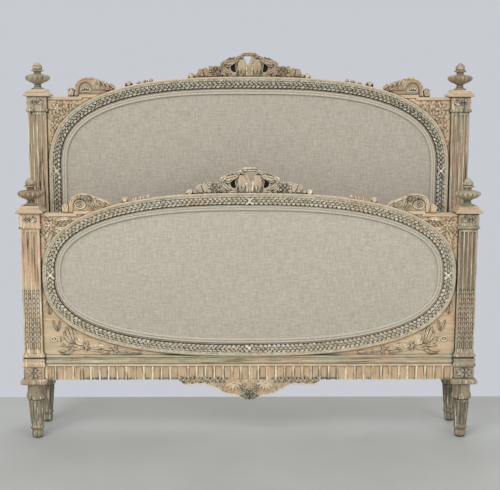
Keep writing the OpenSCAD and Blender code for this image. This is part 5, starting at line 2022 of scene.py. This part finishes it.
@dataclass(frozen=True)
class Sprays:
    """The flat foliage in the corners of a board."""

    board: Board
    base: float = Board.FACE - 0.2

    def build(self) -> None:
        """Carve the upper corners, and on the foot board the lower ones."""
        board = self.board
        parts = {"spray": self.upper} if board is HEAD else {
            "spray_upper": self.upper, "spray_lower": self.lower}
        for part, carve in parts.items():
            left = Relief(51)
            carve(left)
            for hand, carving in (("left", left), ("right", left.mirrored())):
                fit(carving.build(f"{board.name}_carved_{part}_{hand}", board), board, Finish.CORNER,
                    f"{part}_{hand}")

    def upper(self, carving: Relief) -> None:
        """Carve the upper left corner: a flower, small curled leaves, and long ones beside the rim.

        Args:
            carving: The carving that they are added to.
        """
        outline, base = self.board.outline, self.base
        top = self.board.shoulder - 14
        centre = np.array([-722.0, top - 30])

        def inside(x: float, z: float) -> bool:
            """Say whether a place lies in the corner and clear of the flower."""
            return (-749 < x and z < top and outline.gap(x, z, Board.RIM_OUT) > 2
                    and math.hypot(x - centre[0], z - centre[1]) > 17)

        def turn(x: float, z: float) -> float:
            """Return the way of the leaves: round the flower above, along the rim below."""
            return 1.15 if z < centre[1] - 40 else math.atan2(z - centre[1], x - centre[0]) + 1.2

        carving.flower(centre, 20, base, petals=6, height=8, eye=True)
        if self.board is HEAD:
            carving.foliage(inside, (-748, top - 200, -560, top), 17, base, turn, height=6.0)
            return
        carving.leaves((
            ((-702, -16), (-636, -10), 17, 0.12), ((-702, -34), (-650, -40), 17, -0.12),
            ((-652, -12), (-606, -10), 12, 0.1), ((-706, -46), (-684, -62), 14, 0.1),
            ((-730, -52), (-738, -82), 14, 0.1), ((-712, -56), (-722, -88), 13, -0.1)),
            6.5, base, tip=0.8, at=lambda x, z: np.array([x, top + z]))
        for index in range(4):
            low = np.array([-744 + 5 * index, top - 176 + 21 * index])
            carving.leaf(low, low + (24, 62), 14, 6.0, base, bow=0.10, tip=0.5)
        carving.foliage(inside, (-748, top - 150, -606, top), 14, base, turn, height=4.8)

    def lower(self, carving: Relief) -> None:
        """Carve the palm, the twigs and the crossed branches of the lower left corner of the foot board.

        Args:
            carving: The carving that they are added to.
        """
        base = self.base
        carving.leaves((
            ((-646, 360), (-680, 408), 13, 0.10), ((-643, 361), (-672, 424), 14, 0.06),
            ((-640, 362), (-661, 432), 14, 0.0), ((-636, 362), (-648, 426), 13, -0.06),
            ((-652, 356), (-692, 388), 13, 0.14), ((-612, 362), (-634, 396), 26, -0.06),
            ((-606, 360), (-642, 376), 20, 0.1), ((-701, 406), (-718, 450), 7, 0.05),
            ((-702, 406), (-694, 448), 7, -0.05), ((-730, 470), (-738, 520), 10, 0.06),
            ((-728, 470), (-727, 512), 9, -0.04)), 7.0, base, tip=1.0)
        carving.leaves((
            ((-602, 351), (-654, 359), 11, 0.10), ((-640, 353), (-692, 350), 10, -0.08),
            ((-654, 348), (-704, 333), 10, 0.10), ((-604, 343), (-652, 334), 11, -0.10),
            ((-642, 338), (-694, 327), 9, 0.08), ((-594, 352), (-548, 363), 14, -0.10),
            ((-590, 345), (-540, 341), 13, 0.06), ((-558, 359), (-508, 347), 13, -0.08),
            ((-548, 342), (-500, 335), 12, 0.06), ((-594, 338), (-550, 329), 11, 0.10),
            ((-554, 331), (-512, 326), 9, 0.06), ((-488, 339), (-450, 335), 11, -0.06),
            ((-486, 331), (-446, 327), 9, 0.06), ((-458, 334), (-420, 330), 9, -0.05),
            ((-430, 328), (-394, 326), 8, 0.05)), 6.5, base, tip=1.0)
        carving.leaf((-574, 350), (-530, 345), 17, 7.5, base + 0.6, bow=0.1, pattern=patterns().lobed)
        carving.strip(ellipse((-716.0, 378), 11, 8), 5, 4.5, base, closed=True)
        carving.bead((-716, 378), 4.5, base, 4)
        for dx, dz in ((16, 6), (24, 0), (18, -8)):
            carving.leaf((-708, 378), (-708 + dx, 378 + dz), 8, 4, base)
        for x, z in ((-598, 349), (-492, 336)):
            carving.strip(np.array([(x + 4, z + 20), (x - 1, z), (x - 2, z - 18)]), 7, 7, base, ribs=2)
            carving.strip(np.array([(x - 9, z + 8), (x - 1, z), (x + 8, z - 6)]), 6, 6, base, ribs=2)


@dataclass(frozen=True)
class Pendant:
    """The scalloped carving under the lowest rail of the foot board."""

    board: Board
    front: float = 23.0
    base: float = 22.4

    def at(self, x: float, z: float) -> np.ndarray:
        """Return a place under the rail."""
        return np.array([x, Board.APRON_Z + z])

    def build(self) -> None:
        """Saw the ground and carve the shells, the wings and the flowers."""
        board = self.board
        half = [(258, 0), (252, -12), (236, -19), (216, -20), (190, -18), (168, -17), (148, -22), (128, -32),
                (108, -42), (88, -52), (70, -58), (50, -60), (34, -66), (20, -72), (8, -74)]
        line = np.vstack([smooth_line(both_halves(half), 4), [(-258, 1), (258, 1)]]) + self.at(0, 0)
        ground = sawn_plate(f"{board.name}_carved_pendant", board, [line], 1.0, self.front)
        shells, leaves, border = Relief(), Relief(), Relief()
        self.carve_shell(shells)
        Bench.join(ground, shells.doubled().build("shells", board))
        fit(ground, board, Finish.SPRAY, "pendant")
        self.carve(leaves)
        path = smooth_line(half[:-1], 5)
        border.strip(path - beside(path) * 3.0 + self.at(0, 0), 6.0, 6.5, self.base)
        for title, relief in (("leaves", leaves), ("border", border)):
            fit(relief.doubled().build(f"{board.name}_pendant_{title}", board), board, Finish.CREAM)

    def carve_shell(self, carving: Relief) -> None:
        """Carve the right one of the two soft shells.

        Args:
            carving: The carving that it is added to.
        """
        centre = self.at(60, -10)
        for angle in (-170, -142, -114, -86, -58, -30):
            way = np.array([math.cos(math.radians(angle)), math.sin(math.radians(angle))])
            carving.leaf(centre + way * 4, centre + way * 33, 15, 8.0, self.base, pattern=patterns().rib)
        carving.bead(centre, 7, self.base, 5)

    def carve(self, carving: Relief) -> None:
        """Carve the flowers and the leaves of the right half of the pendant.

        Args:
            carving: The carving that they are added to.
        """
        base, at = self.base, self.at
        carving.flower(at(24, -30), 18, base, petals=6, height=11)
        carving.flower(at(2, -46), 15, base + 1, petals=6, height=10)
        carving.leaves([((8, -46), end, wide, 0.05) for end, wide in
                        (((1, -76), 12), ((13, -77), 13), ((26, -72), 13), ((37, -62), 12))], 9, base, at=at)
        carving.leaves((((4, -2), (16, -18), 12, 0.1), ((30, -4), (44, -14), 11, 0.1),
                        ((90, -8), (100, -30), 12, 0.1), ((98, -30), (84, -46), 12, 0.1),
                        ((104, -10), (122, -24), 11, 0.1)), 6, base, at=at)
        for index in range(12):
            x = 88 + 14.5 * index
            drop = -8 if index % 2 else -13
            carving.leaf(at(x, 8 + 3 * (index % 3)), at(x + 9, drop), 8.5, 5.5, base, bow=0.12)
            carving.leaf(at(x + 8, 4), at(x - 1, drop + 2), 7, 4.5, base, bow=0.12)


# The stage


@dataclass(frozen=True)
class Studio:
    """The floor, the backdrop, the lamps and the camera."""

    distance: float = 3.696
    height: float = 1.261
    azimuth: float = -0.6715
    roll: float = 0.096
    tilt: float = 8.486
    aside: float = 0.0025
    lens: float = 72.0
    floor_end: float = 0.40

    def build(self) -> None:
        """Set up everything round the object."""
        self.camera()
        self.floor()
        self.lights()
        bpy.context.scene.view_settings.view_transform = "Standard"

    def camera(self) -> None:
        """Stand the camera where the photograph was taken from."""
        data = bpy.data.cameras.new("camera")
        data.sensor_width, data.lens, data.clip_end = 36.0, self.lens, 50
        camera = bpy.data.objects.new("camera", data)
        bpy.context.scene.collection.objects.link(camera)
        turn = math.radians(self.azimuth)
        camera.location = (self.distance * math.sin(turn) + self.aside * math.cos(turn),
                           -self.distance * math.cos(turn) + self.aside * math.sin(turn), self.height)
        look = (Matrix.Rotation(turn, 4, "Z") @ Matrix.Rotation(math.radians(90 - self.tilt), 4, "X")
                @ Matrix.Rotation(math.radians(self.roll), 4, "Z"))
        camera.rotation_euler = look.to_euler()
        bpy.context.scene.camera = camera

    def floor(self) -> None:
        """Lay a plain pale floor that ends a little behind the head board."""
        Bench.clear()
        bpy.ops.mesh.primitive_plane_add(size=1, location=(0, 0, 0))
        piece = bpy.context.object
        piece.name = "studio_floor"
        Bench.edit(piece)
        for side, reach in ((1, self.floor_end - 0.5), (-1, -5.5)):
            Bench.pick(piece, lambda place: place.y * side > 0)
            bpy.ops.transform.translate(value=(0, reach, 0))
        bpy.ops.mesh.select_all(action="SELECT")
        bpy.ops.transform.resize(value=(12, 1, 1))
        bpy.ops.object.mode_set(mode="OBJECT")
        material, nodes, shader = new_material("studio_floor")
        cloud = nodes.ramp(nodes.noise(nodes.place(), 2.0, 4.0, 0.55), 0.3, 0.7)
        nodes.feed(nodes.mix(cloud, tone(176, 178, 174), tone(184, 186, 182)), shader.inputs["Base Color"])
        nodes.feed(0.7, shader.inputs["Roughness"])
        piece.data.materials.append(material)

    def lights(self) -> None:
        """Hang three soft lamps and light the room evenly."""
        for name, place, size, power in (
                ("key", (-1.9, -3.4, 3.2), 2.4, 95.0), ("fill", (2.6, -3.2, 2.2), 2.6, 45.0),
                ("back", (0.4, 2.8, 3.0), 2.4, 40.0)):
            data = bpy.data.lights.new(name, "AREA")
            data.size, data.energy = size, power
            lamp = bpy.data.objects.new(name, data)
            lamp.location = place
            lamp.rotation_euler = (Vector((0, 0, 0.6)) - Vector(place)).to_track_quat("-Z", "Y").to_euler()
            bpy.context.scene.collection.objects.link(lamp)
        world = bpy.data.worlds.new("room")
        world.use_nodes = True
        world.node_tree.nodes.clear()
        nodes = Nodes(world.node_tree)
        path = nodes.add("ShaderNodeLightPath").outputs
        seen = nodes.most(path["Is Camera Ray"],
                          nodes.most(path["Is Glossy Ray"], path["Is Transmission Ray"]))
        lit = nodes.add("ShaderNodeBackground", {"Color": tone(250, 250, 252), "Strength": 0.62})
        wall = nodes.add("ShaderNodeBackground", {"Color": tone(200, 203, 209), "Strength": 1.0})
        both = nodes.add("ShaderNodeMixShader", {0: seen, 1: lit.outputs[0], 2: wall.outputs[0]})
        nodes.add("ShaderNodeOutputWorld", {0: both.outputs[0]})
        bpy.context.scene.world = world


def main() -> None:
    """Build the bedstead's looks in order."""
    logging.basicConfig(level=logging.INFO, format="%(name)s: %(message)s")
    for board in (HEAD, FOOT):
        for assembly in (Joinery, Posts, Upholstery, LaurelBand, Crest, Scrolls, Sprays):
            assembly(board).build()
    Pendant(FOOT).build()
    Studio().build()
    Bench.clear()


if __name__ == "__main__":
    main()
